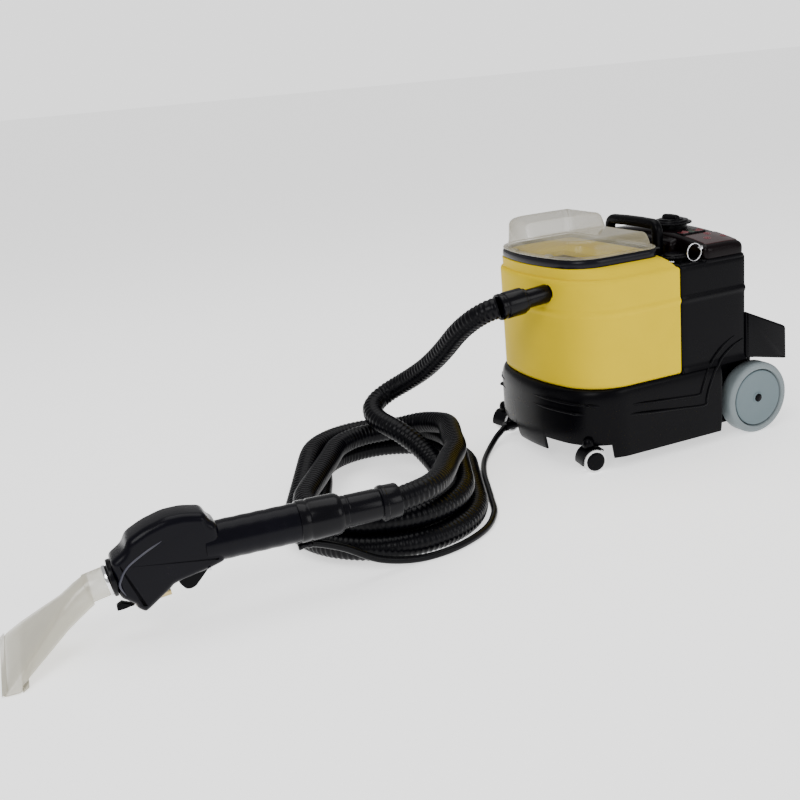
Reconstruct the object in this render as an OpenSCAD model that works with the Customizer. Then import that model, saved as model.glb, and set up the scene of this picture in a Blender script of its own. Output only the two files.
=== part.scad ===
// Carpet cleaner: wheeled tank machine, suction hose and hand tool.
// Millimetres, +Z up, +Y toward the rear of the machine, floor at Z = 0.
// The frame's origin is the middle of the floor area under machine and hand tool.

/* [Machine body] */
// overall width of the lower body
body_w = 326; // [316:2:334]
// width of the tank and of the rear housing
tank_w = 316; // [308:2:320]
// gap between the lower edge of the skirt and the floor
clear_z = 19; // [15:1:24]
// height of the top of the lower body
base_z = 139; // [137:1:143]
// height of the tank's shoulder
tank_z = 325; // [300:1:350]
// wall thickness of the big mouldings
wall = 3; // [2.4:0.1:3.4]
// how far the middle of the top cover stands above its edges
crown = 17; // [10:1:22]

/* [Lid] */
// height of the black rim band
rim_h = 13; // [9:1:16]
// height of the lower dome above the rim
dome_low = 30; // [20:1:40]
// height of the taller dome above the rim
dome_high = 52; // [44:1:64]

/* [Running gear] */
// diameter of the rear wheels
wheel_d = 128; // [110:2:130]
// width of the rear wheels
wheel_w = 30; // [24:1:31]
// diameter of the front caster wheels
caster_d = 41; // [36:1:44]

/* [Hose] */
// outer diameter of the suction hose
hose_d = 37; // [32:0.5:38]
// outer diameter of the solution hose
line_d = 11; // [8:0.5:13]

/* [Hand tool] */
// width of the clear suction mouth
mouth_w = 164; // [140:2:180]
// diameter of the grip
grip_d = 54.4; // [52:0.4:58]
// wall thickness of the clear mouth piece
mouth_wall = 2.5; // [1.5:0.1:3]

/* [Hidden] */

// frame origin relative to the middle of the machine
ox = -79;
oy = 488.75;

bw = body_w / 2;
tw = tank_w / 2;
front_y = -240;
tank_y = -231;
seam_y = -25;
rear_y = 113;
fender_y = 203;
bow = 365;
corner = 88;
pan_z = 45;
lid_w = tw - 26;
lid_front = tank_y + 5;
lid_corner = 60;
lid_bow = 358;
lid_rear = seam_y - 18;
tier_z = tank_z + 16;
rim_z = tier_z + rim_h;
cover_z = tank_z + 9;
cover_edge = tank_z + 24;
crown_r = (tw * tw + crown * crown) / (2 * crown);

wheel_y = 137;
wr = wheel_d / 2;
disc_r = wr - 13.6;
axle_r = 6;
wheel_x = bw + 2;

caster_r = caster_d / 2;
caster_x = 137;
caster_y = -207.3;
caster_yaw = -10;
trail = 6;

rocker_x = 76;

port = [57, -226, 297];
droop = 5;

gun_p = [254.7, -1027.7, 84];
gun_tilt = 5.84;
gun_yaw = 5;
knee = [0, 110, 10];
nose_up = 5.1;
tail_down = 5.9;
grip_r = grip_d / 2;
tube_r = 19;

hose_r = hose_d / 2;
line_r = line_d / 2;

run_pts = [[57, -317.5, 289], [42, -341, 280], [4, -363, 250], [-36, -377, 210],
    [-78, -392, 174], [-122, -412, 144], [-148, -442, 122], [-136, -478, 106],
    [-98, -486, 94], [-52, -472, 84], [-12, -450, 60], [35, -440, 34]];
lead_pts = [[-68, -409, 80], [-1, -398, 93], [65, -425, 92], [118, -446, 92], [162, -481, 94],
    [210, -514, 98], [256, -548, 104], [284, -586, 107], [289.8, -631.5, 104.6]];
line_pts = [[-90, -236, 26], [-78, -262, 15], [-45, -298, 6.5], [0, -333, 5.5],
    [51, -362, 5.5], [103, -385, 5.5], [153, -407, 5.5], [207, -433, 5.5],
    [253, -476, 5.5], [281.6, -538.7, 5.5], [285, -600, 6], [284, -660, 21],
    [281, -710, 50.5], [279, -740, 64.5], [278, -757, 70.5]];

coil_c = [34, -540];
coil_turn = -23.95;
coil_in = 87.5;
coil_half = 90;
coil_out = 144 + hose_r;

function lerp(a, b, t) = a + (b - a) * t;
function unit(v) = v / norm(v);
function spline(p, i, t) =
    let (n = len(p) - 1)
    let (a = p[max(i - 1, 0)])
    let (b = p[i])
    let (c = p[min(i + 1, n)])
    let (d = p[min(i + 2, n)])
    0.5 * (2 * b + (c - a) * t + (2 * a - 5 * b + 4 * c - d) * t * t + (3 * b - a - 3 * c + d) * t * t * t);
function route(p, m) = [for (i = [0:len(p) - 2]) for (k = [0:m - 1]) spline(p, i, k / m), p[len(p) - 1]];
function along(q, i) = unit(q[min(i + 1, len(q) - 1)] - q[max(i - 1, 0)]);
function ring(c, t, r, s) =
    let (n = unit(cross(t, [0, 0, 1])))
    let (b = cross(t, n))
    [for (k = [0:s - 1]) c + r * (cos(360 * k / s) * n + sin(360 * k / s) * b)];

module tube_along(p, r, m, s) {
    q = route(p, m);
    n = len(q);
    pts = [for (i = [0:n - 1]) each ring(q[i], along(q, i), r, s)];
    sides = [for (i = [0:n - 2]) for (k = [0:s - 1]) [i * s + k, i * s + (k + 1) % s, (i + 1) * s + (k + 1) % s]];
    others = [for (i = [0:n - 2]) for (k = [0:s - 1]) [i * s + k, (i + 1) * s + (k + 1) % s, (i + 1) * s + k]];
    head = [[for (k = [s - 1:-1:0]) k]];
    tail = [[for (k = [0:s - 1]) (n - 1) * s + k]];
    polyhedron(points = pts, faces = concat(sides, others, head, tail), convexity = 6);
}

// whole-frame placement
module at() {
    translate([ox, oy, 0]) children();
}

// mirror copy for the far side of the machine
module far() {
    at() mirror([1, 0, 0]) children();
}

// hand tool frame: +Y along the tool toward the hose, +Z up
module tool() {
    at() translate(gun_p) rotate([gun_tilt, 0, -gun_yaw]) children();
}

// plan outline with a bowed front: half width, front, corner radius, bow radius, rear
module plan(w, f, r, rb, y1) {
    yb = f + rb;
    yc = yb - sqrt(pow(rb - r, 2) - pow(w - r, 2));
    sx = (w - r) * 1.5 * rb / (rb - r);
    sy = (yb - yc) * 1.5 * rb / (rb - r);
    union() {
        translate([-w, yc]) square([2 * w, y1 - yc]);
        translate([w - r, yc]) circle(r, $fn = 96);
        translate([r - w, yc]) circle(r, $fn = 96);
        intersection() {
            translate([0, yb]) circle(rb, $fn = 180);
            polygon([[w - r, yc], [r - w, yc], [-sx, yb - sy], [sx, yb - sy]]);
        }
    }
}

module prism(z0, z1, w, f, r, rb, y1) {
    translate([0, 0, z0]) linear_extrude(z1 - z0) plan(w, f, r, rb, y1);
}

// the lid's own outline, set in by d
module lid_prism(z0, z1, d) {
    prism(z0, z1, lid_w - d, lid_front + d, lid_corner - d, lid_bow - d, lid_rear - d);
}

module box(x0, x1, y0, y1, z0, z1) {
    translate([x0, y0, z0]) cube([x1 - x0, y1 - y0, z1 - z0]);
}

module rod_x(x0, x1, y, z, r) {
    translate([x0, y, z]) rotate([0, 90, 0]) cylinder(h = x1 - x0, r = r, $fn = 64);
}

module base_shell() {
    color([0.03, 0.03, 0.04]) at() difference() {
        union() {
            prism(clear_z, base_z, bw, front_y, corner, bow, 59);
            box(-130, 130, 50, 155, clear_z, base_z - 3);
            box(-tw, tw, 50, rear_y, base_z - 3, base_z);
            translate([caster_x, caster_y, pan_z - 1]) cylinder(h = 20, r = 12, $fn = 64);
            translate([-caster_x, caster_y, pan_z - 1]) cylinder(h = 20, r = 12, $fn = 64);
        }
        difference() {
            prism(clear_z - 1, base_z - wall, bw - wall, front_y + wall, corner - wall, bow - wall, 56);
            translate([caster_x, caster_y, pan_z - 1]) cylinder(h = 20, r = 12, $fn = 64);
            translate([-caster_x, caster_y, pan_z - 1]) cylinder(h = 20, r = 12, $fn = 64);
        }
        translate([caster_x, caster_y, pan_z - 2]) cylinder(h = 18, r = 4.53, $fn = 48);
        translate([-caster_x, caster_y, pan_z - 2]) cylinder(h = 18, r = 4.53, $fn = 48);
        box(wall - 130, 130 - wall, 40, 152, clear_z - 1, base_z - 3 - wall);
        translate([-40, 40, base_z - 20]) cylinder(h = 30, r = 46, $fn = 96);
        box(46, bw + 5, front_y - 5, -168, clear_z - 1, pan_z - 1);
        box(-bw - 5, -46, front_y - 5, -168, clear_z - 1, pan_z - 1);
        rod_x(-135, 135, wheel_y, wr, axle_r);
        translate([-90, -200, 27]) rotate([90, 0, 0]) cylinder(h = 60, r = 7, $fn = 48);
    }
}

module base_pan() {
    color([0.05, 0.05, 0.06]) at() difference() {
        prism(pan_z, pan_z + 4, bw - wall, front_y + wall, corner - wall, bow - wall, 56);
        translate([caster_x, caster_y, pan_z - 2]) cylinder(h = 18, r = 12, $fn = 64);
        translate([-caster_x, caster_y, pan_z - 2]) cylinder(h = 18, r = 12, $fn = 64);
    }
}

module rear_fender() {
    color([0.03, 0.03, 0.04]) at() difference() {
        translate([-tw - 3, 0, 0]) rotate([90, 0, 90]) linear_extrude(2 * tw + 6)
            polygon([[rear_y, base_z - 3], [rear_y, 224], [200, 185], [fender_y, 181],
                [fender_y + 2, 124], [202, 122], [wheel_y, base_z - 3]]);
        translate([-tw, 0, 0]) rotate([90, 0, 90]) linear_extrude(2 * tw)
            polygon([[rear_y + 3, 110], [rear_y + 3, 219.5], [199, 182], [fender_y - 0.8, 179], [fender_y - 0.8, 110]]);
    }
}

module axle() {
    color([0.6, 0.6, 0.62]) at() rod_x(-157, 157, wheel_y, wr, axle_r);
}

module tyre() {
    difference() {
        rod_x(wheel_x - wheel_w, wheel_x, wheel_y, wr, wr);
        rod_x(wheel_x - wheel_w - 1, wheel_x + 1, wheel_y, wr, disc_r);
    }
}

module disc() {
    difference() {
        union() {
            rod_x(wheel_x - wheel_w + 4, wheel_x - 1.5, wheel_y, wr, disc_r);
            rod_x(wheel_x - wheel_w - 2, wheel_x + 1, wheel_y, wr, 9);
        }
        rod_x(wheel_x - wheel_w - 3, wheel_x - 4, wheel_y, wr, axle_r + 0.04);
    }
}

module tyre_near() {
    color([0.58, 0.62, 0.64]) at() tyre();
}

module disc_near() {
    color([0.5, 0.56, 0.58]) at() disc();
}

module tyre_far() {
    color([0.58, 0.62, 0.64]) far() tyre();
}

module disc_far() {
    color([0.5, 0.56, 0.58]) far() disc();
}

module fork() {
    translate([caster_x, caster_y, 0]) rotate([0, 0, caster_yaw]) difference() {
        union() {
            translate([0, 0, 30]) cylinder(h = 28, r = 4.5, $fn = 48);
            intersection() {
                union() {
                    rod_x(-4.5, 4.5, trail, caster_r, caster_r + 4);
                    difference() {
                        rod_x(-15.5, 15.5, trail, caster_r, caster_r + 4);
                        rod_x(-17, 17, trail, caster_r, caster_r + 1.5);
                    }
                }
                box(-20, 20, trail - 40, trail + 15, caster_r - 4, pan_z - 2.5);
            }
            rod_x(-4.5, 4.5, trail, caster_r, 8);
            rod_x(-15, 15, trail, caster_r, 3);
        }
        rod_x(-20, -15.2, trail, caster_r, 40);
    }
}

module casters() {
    translate([caster_x, caster_y, 0]) rotate([0, 0, caster_yaw]) difference() {
        union() {
            rod_x(5, 15, trail, caster_r, caster_r);
            rod_x(-15, -5, trail, caster_r, caster_r);
            rod_x(14, 16.5, trail, caster_r, caster_r - 5);
            rod_x(-16.5, -14, trail, caster_r, caster_r - 5);
        }
        rod_x(-15.2, 15.2, trail, caster_r, 3.04);
    }
}

module caster_fork_near() {
    color([0.04, 0.04, 0.05]) at() fork();
}

module caster_wheels_near() {
    color([0.9, 0.9, 0.9]) at() casters();
}

module caster_fork_far() {
    color([0.04, 0.04, 0.05]) far() fork();
}

module caster_wheels_far() {
    color([0.9, 0.9, 0.9]) far() casters();
}

module port_rod(s0, s1, r) {
    translate(port) rotate([90 + droop, 0, 0]) translate([0, 0, s0]) cylinder(h = s1 - s0, r = r, $fn = 64);
}

module tank_shell() {
    color([0.9, 0.82, 0.15]) at() difference() {
        union() {
            prism(base_z, tank_z, tw, tank_y, corner, bow, seam_y);
            prism(tank_z - 63, tank_z - 55, tw + 2, tank_y - 2, corner + 2, bow + 2, seam_y);
            lid_prism(tank_z - 1, tier_z, -3);
        }
        prism(base_z + wall, tank_z - wall, tw - wall, tank_y + wall, corner - wall, bow - wall, seam_y - wall);
        lid_prism(tank_z - wall - 1, tier_z + 1, 4);
        port_rod(-40, 40, 16);
    }
}

module tank_insert() {
    color([0.86, 0.78, 0.25]) at() difference() {
        lid_prism(base_z + 20, tier_z - 2, 8);
        lid_prism(base_z + 23, tier_z, 11);
        port_rod(-60, 40, 18);
    }
}

module inlet_elbow() {
    color([0.1, 0.1, 0.11]) at() difference() {
        union() {
            translate([57, -170, base_z + 23]) cylinder(h = 118, r = 15, $fn = 64);
            translate([57, -170, base_z + 40]) cylinder(h = 3, r = 26, $fn = 64);
            translate([57, -170, base_z + 78]) cylinder(h = 3, r = 26, $fn = 64);
        }
        translate([57, -170, base_z + 22]) cylinder(h = 120, r = 12, $fn = 64);
    }
}

module float_ball() {
    color([0.9, 0.9, 0.88]) at() difference() {
        translate([57, -170, base_z + 48]) cylinder(h = 14, r = 24, $fn = 64);
        translate([57, -170, base_z + 47]) cylinder(h = 16, r = 15.08, $fn = 64);
    }
}

module tank_rim() {
    color([0.08, 0.07, 0.1]) at() difference() {
        lid_prism(tier_z, rim_z, 0);
        lid_prism(tier_z - 1, rim_z + 1, 8);
    }
}

module lid_gasket() {
    color([0.12, 0.12, 0.13]) at() difference() {
        lid_prism(rim_z, rim_z + 1.5, 2);
        lid_prism(rim_z - 1, rim_z + 3, 7);
    }
}

module lid_shell() {
    color([0.8, 0.78, 0.7, 0.4]) at() difference() {
        union() {
            lid_prism(rim_z + 1.5, rim_z + 5, 0);
            lid_prism(rim_z + 1.5, rim_z + dome_low, 8);
            intersection() {
                lid_prism(rim_z + 1.5, rim_z + dome_high, 10);
                box(-200, -8, -300, 100, 0, 600);
            }
        }
        lid_prism(rim_z, rim_z + dome_low - 2.4, 10.4);
        intersection() {
            lid_prism(rim_z, rim_z + dome_high - 2.4, 12.4);
            box(-200, -10.4, -300, 100, 0, 600);
        }
    }
}

module rear_housing() {
    color([0.03, 0.03, 0.04]) at() difference() {
        union() {
            box(-tw, tw, seam_y, rear_y, base_z, tank_z);
            box(-tw - 2, tw + 2, seam_y, rear_y + 2, tank_z - 63, tank_z - 55);
        }
        box(wall - tw, tw - wall, seam_y + wall, rear_y - wall, base_z - 1, tank_z - wall);
        box(-120, 120, seam_y + 55, rear_y - 10, tank_z - 10, tank_z + 1);
        translate([108, 2, tank_z - 10]) cylinder(h = 20, r = 20, $fn = 64);
        box(-60, 60, rear_y - 5, rear_y + 5, 236, 256);
        translate([-110, rear_y - 6, 243]) rotate([-90, 0, 0]) cylinder(h = 10, r = 14, $fn = 48);
    }
}

module top_cover() {
    color([0.05, 0.04, 0.05]) at() difference() {
        intersection() {
            box(2 - tw, tw - 2, 29, rear_y - 1, tank_z, tank_z + 60);
            translate([0, 20, cover_edge + crown - crown_r]) rotate([-90, 0, 0]) cylinder(h = 120, r = crown_r, $fn = 360);
        }
        intersection() {
            box(5 - tw, tw - 5, 32, rear_y - 4, tank_z - 1, tank_z + 60);
            translate([0, 20, cover_edge + crown - crown_r]) rotate([-90, 0, 0]) cylinder(h = 120, r = crown_r - 3, $fn = 360);
        }
        box(rocker_x - 10, rocker_x + 10, 38, 56, tank_z, tank_z + 60);
        box(rocker_x - 10, rocker_x + 10, 57, 69, tank_z, tank_z + 60);
        box(rocker_x - 10, rocker_x + 10, 70, 88, tank_z, tank_z + 60);
        translate([18, 68, tank_z]) cylinder(h = 60, r = 28, $fn = 64);
    }
}

module label_plate() {
    color([0.25, 0.03, 0.04]) at() difference() {
        intersection() {
            box(rocker_x + 12, tw - 10, 36, rear_y - 6, tank_z, tank_z + 60);
            translate([0, 20, cover_edge + crown - crown_r]) rotate([-90, 0, 0]) cylinder(h = 120, r = crown_r + 0.8, $fn = 360);
        }
        translate([0, 19, cover_edge + crown - crown_r]) rotate([-90, 0, 0]) cylinder(h = 130, r = crown_r, $fn = 360);
    }
}

module carry_handle() {
    color([0.03, 0.03, 0.03]) at() difference() {
        union() {
            box(-78, 74, -9, 9, tank_z + 50, tank_z + 66);
            box(-78, -62, -9, 9, tank_z, tank_z + 60);
            box(58, 74, -9, 9, tank_z, tank_z + 60);
        }
        rod_x(-90, 90, -9, tank_z + 66, 3);
        rod_x(-90, 90, 9, tank_z + 66, 3);
    }
}

module rocker(y0, y1) {
    top = cover_edge + crown - 5;
    mid = (y0 + y1) / 2;
    translate([rocker_x - 9.4, 0, 0]) rotate([90, 0, 90]) linear_extrude(18.8)
        polygon([[y0, top], [mid, top + 2.5], [y1, top + 6], [y1, top - 4], [mid, top - 11], [y0, top - 6]]);
    rod_x(rocker_x - 9.8, rocker_x + 9.8, mid, top - 3, 2);
}

module switch_a() {
    color([0.5, 0.03, 0.04]) at() rocker(40, 54);
}

module switch_b() {
    color([0.05, 0.1, 0.06]) at() rocker(58.5, 67.5);
}

module switch_c() {
    color([0.5, 0.03, 0.04]) at() rocker(72, 86);
}

module cap_neck() {
    color([0.05, 0.05, 0.05]) at() difference() {
        translate([18, 68, tank_z - 10]) cylinder(h = crown + 38, r = 28, $fn = 96);
        translate([18, 68, tank_z - 11]) cylinder(h = crown + 60, r = 25, $fn = 96);
    }
}

module ribbed_cap() {
    z0 = tank_z + crown + 28;
    color([0.03, 0.03, 0.03]) at() difference() {
        union() {
            translate([18, 68, z0]) cylinder(h = 4, r = 36, $fn = 96);
            translate([18, 68, z0 + 4]) cylinder(h = 3, r = 30, $fn = 96);
            translate([18, 68, z0 + 7]) cylinder(h = 3, r = 22, $fn = 96);
            translate([18, 68, z0 - 9]) cylinder(h = 9, r = 24.94, $fn = 96);
            box(-2, 38, 62, 74, z0 + 7, z0 + 17);
        }
        translate([18, 68, z0 - 10]) cylinder(h = 9, r = 22, $fn = 96);
    }
}

module filler_neck() {
    color([0.05, 0.05, 0.05]) at() difference() {
        translate([108, 2, tank_z - 20]) cylinder(h = 24, r = 20, $fn = 96);
        translate([108, 2, tank_z - 21]) cylinder(h = 26, r = 17, $fn = 96);
    }
}

module filler_cap() {
    color([0.05, 0.05, 0.06]) at() difference() {
        union() {
            translate([108, 2, tank_z + 4]) cylinder(h = 4, r = 26, $fn = 96);
            translate([108, 2, tank_z + 8]) cylinder(h = 3, r = 20, $fn = 96);
            translate([108, 2, tank_z - 4]) cylinder(h = 8, r = 16.95, $fn = 96);
        }
        translate([108, 2, tank_z - 5]) cylinder(h = 8, r = 14, $fn = 96);
    }
}

module eyelet() {
    color([0.6, 0.6, 0.6]) at() difference() {
        translate([147.5, 25.5, tank_z + 21.6]) rotate([22.5, 0, 0]) cylinder(h = 3, r = 4.2, center = true, $fn = 32);
        translate([147.5, 25.5, tank_z + 21.6]) rotate([22.5, 0, 0]) cylinder(h = 5, r = 2.3, center = true, $fn = 32);
        box(140, 155, 29, 35, tank_z, tank_z + 40);
    }
}

module split_ring() {
    color([0.75, 0.75, 0.75]) at() translate([147.5, 12, tank_z + 16]) rotate([0, 90, 0])
        rotate_extrude($fn = 72) translate([14.6, 0]) circle(1.3, $fn = 24);
}

module bead_chain() {
    color([0.5, 0.5, 0.45]) at() translate([108, 2, tank_z + 1.6]) rotate([0, 0, 190])
        rotate_extrude(angle = 122, $fn = 72) translate([32, 0]) circle(1.6, $fn = 24);
}

module vacuum_motor() {
    color([0.35, 0.35, 0.38]) at() difference() {
        union() {
            translate([-40, 40, pan_z + 4]) cylinder(h = 60, r = 60, $fn = 96);
            translate([-40, 40, pan_z + 64]) cylinder(h = 64, r = 45, $fn = 96);
        }
        translate([-40, 40, pan_z + 10]) cylinder(h = 48, r = 55, $fn = 96);
        translate([-40, 40, pan_z + 3]) cylinder(h = 20, r = 18, $fn = 64);
    }
}

module fan_wheel() {
    color([0.7, 0.7, 0.72]) at() difference() {
        union() {
            translate([-40, 40, pan_z + 16]) cylinder(h = 3, r = 50, $fn = 96);
            translate([-40, 40, pan_z + 34]) cylinder(h = 3, r = 50, $fn = 96);
            translate([-40, 40, pan_z + 16]) cylinder(h = 21, r = 9, $fn = 48);
            for (a = [0:40:320]) translate([-40, 40, 0]) rotate([0, 0, a]) box(8, 48, -1, 1, pan_z + 18, pan_z + 35);
        }
        translate([-40, 40, pan_z + 12]) cylinder(h = 15, r = 6, $fn = 48);
    }
}

module pump() {
    color([0.2, 0.2, 0.22]) at() union() {
        box(60, 118, 0, 44, pan_z + 4, pan_z + 50);
        translate([89, -60, pan_z + 27]) rotate([-90, 0, 0]) cylinder(h = 61, r = 18, $fn = 64);
    }
}

module outlet_pipe() {
    color([0.04, 0.04, 0.05]) at() difference() {
        port_rod(-14, 92, 16);
        port_rod(-15, 93, 13.5);
    }
}

module hose_cuff() {
    color([0.03, 0.03, 0.04]) at() difference() {
        union() {
            port_rod(46, 92, 22.5);
            port_rod(40, 48, 19.5);
        }
        port_rod(39, 93, 16);
    }
}

module power_inlet() {
    color([0.05, 0.05, 0.05]) at() translate([-110, rear_y - 3, 243]) rotate([-90, 0, 0]) difference() {
        union() {
            cylinder(h = 3, r = 14, $fn = 48);
            translate([0, 0, 3]) cylinder(h = 3, r = 16, $fn = 48);
        }
        translate([0, 0, 1]) cylinder(h = 6, r = 10, $fn = 48);
    }
}

module exhaust_grille() {
    color([0.06, 0.06, 0.07]) at() difference() {
        box(-60, 60, rear_y - 3, rear_y, 236, 256);
        for (i = [0:11]) box(-55 + i * 9.4, -50 + i * 9.4, rear_y - 5, rear_y + 5, 239, 253);
    }
}

module hose_run() {
    color([0.04, 0.04, 0.05]) at() tube_along(run_pts, hose_r, 3, 12);
}

module hose_lead() {
    color([0.04, 0.04, 0.05]) at() tube_along(lead_pts, hose_r, 3, 12);
}

module solution_run() {
    color([0.05, 0.05, 0.06]) at() tube_along(line_pts, line_r, 3, 8);
}

module bundle(h, r) {
    union() {
        translate([0, coil_half, 0]) cylinder(h = h, r = r, $fn = 128);
        translate([0, -coil_half, 0]) cylinder(h = h, r = r, $fn = 128);
        translate([-r, -coil_half, 0]) cube([2 * r, 2 * coil_half, h]);
    }
}

module hose_coil() {
    color([0.04, 0.04, 0.05]) at() translate([coil_c[0], coil_c[1], 0]) rotate([0, 0, coil_turn - 90]) difference() {
        bundle(50.5 + hose_r, coil_out);
        translate([0, 0, -1]) bundle(90 + hose_r, coil_in);
    }
}

module solution_fitting() {
    color([0.15, 0.15, 0.16]) at() difference() {
        union() {
            translate([-90, -200, 27]) rotate([90, 0, 0]) cylinder(h = 34, r = 7, $fn = 48);
            translate([-90, -231, 27]) rotate([90, 0, 0]) cylinder(h = 5, r = 9, $fn = 48);
        }
        translate([-90, -199, 27]) rotate([90, 0, 0]) cylinder(h = 30, r = 3.5, $fn = 48);
    }
}

// rods along the two straight parts of the tool's tube
module nose_rod(s0, s1, r) {
    translate(knee) rotate([90 + nose_up, 0, 0]) translate([0, 0, s0]) cylinder(h = s1 - s0, r = r, $fn = 64);
}

module tail_rod(s0, s1, r) {
    translate(knee) rotate([-90 - tail_down, 0, 0]) translate([0, 0, s0]) cylinder(h = s1 - s0, r = r, $fn = 64);
}

module slab(x0, x1, p) {
    translate([x0, 0, 0]) rotate([90, 0, 90]) linear_extrude(x1 - x0) polygon(p);
}

module gun_body() {
    color([0.04, 0.03, 0.06]) tool() difference() {
        union() {
            slab(-25, 25, [[8, -21], [8, 25], [27, 38], [35, 52], [60, 61], [88, 66], [112, 64], [138, 56],
                [142, 46], [150, 36], [150, -18], [78, -24], [72, -31], [37, -50], [33, -51], [24, -43], [10, -35]]);
            tail_rod(28, 152, grip_r);
        }
        nose_rod(-3, 130, tube_r);
        tail_rod(-3, 160, tube_r);
        box(-9, 9, 79, 134, -60, -13);
        rod_x(-30, 30, 126, -19, 2);
        translate([0, 20, -41]) rotate([-90, 0, 0]) cylinder(h = 60, r = 6, $fn = 48);
        translate(knee) rotate([-90 - tail_down, 0, 0]) translate([0, 22.4, 10]) cylinder(h = 150, r = 3, $fn = 32);
    }
}

module gun_tube() {
    color([0.1, 0.1, 0.11]) tool() difference() {
        nose_rod(0, 113, tube_r);
        nose_rod(-1, 114, tube_r - 2.5);
    }
}

module grip_tube() {
    color([0.1, 0.1, 0.11]) tool() difference() {
        tail_rod(4, 152, tube_r);
        tail_rod(3, 153, tube_r - 2.5);
    }
}

module gun_nose() {
    color([0.1, 0.1, 0.12]) tool() difference() {
        translate([0, 8, 2]) rotate([90, 0, 0]) cylinder(h = 5.5, r = 25, $fn = 96);
        nose_rod(90, 120, tube_r);
        nose_rod(108, 120, tube_r + 2);
    }
}

module chrome_ring() {
    color([0.85, 0.85, 0.87]) tool() difference() {
        nose_rod(108.5, 113, tube_r + 1.6);
        nose_rod(108, 114, tube_r);
    }
}

module mouth_piece() {
    w = mouth_w / 2;
    t = mouth_wall;
    color([0.9, 0.9, 0.86, 0.45]) tool() difference() {
        union() {
            nose_rod(113, 141, tube_r + 0.6);
            intersection() {
                slab(-w, w, [[-24, 18], [-42, 9], [-80, -16], [-120, -43], [-148, -61], [-156, -68.5],
                    [-128, -71.3], [-100, -58], [-72, -45], [-50, -37], [-24, -25]]);
                translate([0, 0, -100]) linear_extrude(160) polygon([[20, -20], [20.5, -42], [28, -62], [w - 14, -122], [w, -150],
                    [w, -160], [-w, -160], [-w, -150], [14 - w, -122], [-28, -62], [-20.5, -42], [-20, -20]]);
            }
        }
        nose_rod(112, 139, tube_r - t);
        intersection() {
            slab(t - w, w - t, [[-20, 14], [-41, 6.2], [-79, -18.6], [-119, -45.2], [-147, -63.4], [-152.5, -68.6], [-154, -75],
                [-131, -76], [-131.5, -69.6], [-101, -55.4], [-73, -42.4], [-51, -34.3], [-20, -20]]);
            translate([0, 0, -100]) linear_extrude(160) polygon([[17.5, -18], [18, -43], [25.5, -63], [w - 16.5, -123], [w - t, -150.5],
                [w - t, -161], [t - w, -161], [t - w, -150.5], [16.5 - w, -123], [-25.5, -63], [-18, -43], [-17.5, -18]]);
        }
    }
}

module gun_collar() {
    color([0.05, 0.05, 0.06]) tool() difference() {
        tail_rod(146, 208, grip_r + 2);
        tail_rod(145, 152, grip_r);
        tail_rod(151, 209, 16);
    }
}

module gun_cuff() {
    color([0.04, 0.04, 0.05]) tool() difference() {
        union() {
            tail_rod(208, 264, 23);
            tail_rod(264, 292, 25);
            tail_rod(266, 272, 26);
        }
        tail_rod(207, 285, 16);
        tail_rod(284, 293, hose_r);
    }
}

module spray_nipple() {
    color([0.3, 0.3, 0.32]) tool() difference() {
        translate([0, 249, -41]) union() {
            rotate([-90, 0, 0]) cylinder(h = 20, r = 4, $fn = 32);
            translate([0, 4, 0]) cylinder(h = 14, r = 4, $fn = 32);
        }
        tail_rod(100, 152, grip_r);
        tail_rod(146, 208, grip_r + 2);
    }
}

module spray_line() {
    color([0.5, 0.5, 0.5]) tool() translate(knee) rotate([-90 - tail_down, 0, 0]) translate([0, 22.4, 28])
        cylinder(h = 118, r = 3, $fn = 32);
}

module spray_valve() {
    color([0.55, 0.5, 0.3]) tool() translate([0, 24, -41]) rotate([-90, 0, 0]) cylinder(h = 48, r = 6, $fn = 48);
}

module spray_jet() {
    color([0.1, 0.1, 0.1]) tool() difference() {
        slab(-5, 5, [[1, -37], [0, -44], [9, -44.5], [24, -43.2], [10.2, -35.2], [9, -34]]);
        translate([0, -1, -40.5]) rotate([-90, 0, 0]) cylinder(h = 8, r = 1.6, $fn = 24);
    }
}

module trigger() {
    color([0.06, 0.06, 0.07]) tool() difference() {
        slab(-8, 8, [[84, -27], [85, -34], [91, -44], [98, -46], [105, -44], [131, -21.5], [130, -15.5], [122, -15.5], [118, -22]]);
        rod_x(-20, 20, 126, -19, 2.04);
    }
}

module trigger_pin() {
    color([0.7, 0.7, 0.7]) tool() rod_x(-25, 25, 126, -19, 2);
}

base_shell();
base_pan();
rear_fender();
axle();
tyre_near();
disc_near();
tyre_far();
disc_far();
caster_fork_near();
caster_wheels_near();
caster_fork_far();
caster_wheels_far();
tank_shell();
tank_insert();
inlet_elbow();
float_ball();
tank_rim();
lid_gasket();
lid_shell();
rear_housing();
top_cover();
label_plate();
carry_handle();
switch_a();
switch_b();
switch_c();
cap_neck();
ribbed_cap();
filler_neck();
filler_cap();
eyelet();
split_ring();
bead_chain();
vacuum_motor();
fan_wheel();
pump();
outlet_pipe();
hose_cuff();
power_inlet();
exhaust_grille();
hose_run();
hose_coil();
hose_lead();
solution_fitting();
solution_run();
gun_body();
gun_nose();
gun_tube();
grip_tube();
gun_collar();
gun_cuff();
spray_nipple();
spray_line();
spray_valve();
spray_jet();
chrome_ring();
mouth_piece();
trigger();
trigger_pin();
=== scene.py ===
"""Looks of a wheeled carpet cleaner with its suction hose and hand tool.

Sizes are millimetres in the machine's own frame: +X toward the near side, -Y toward the
machine's front, +Z up from the floor. Place.point turns them into metres in the row frame.
"""

import logging
import math
from dataclasses import dataclass
from enum import Enum
from typing import Callable, Optional, Sequence

import bmesh
import bpy
import numpy as np
from mathutils import Matrix, Vector


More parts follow.
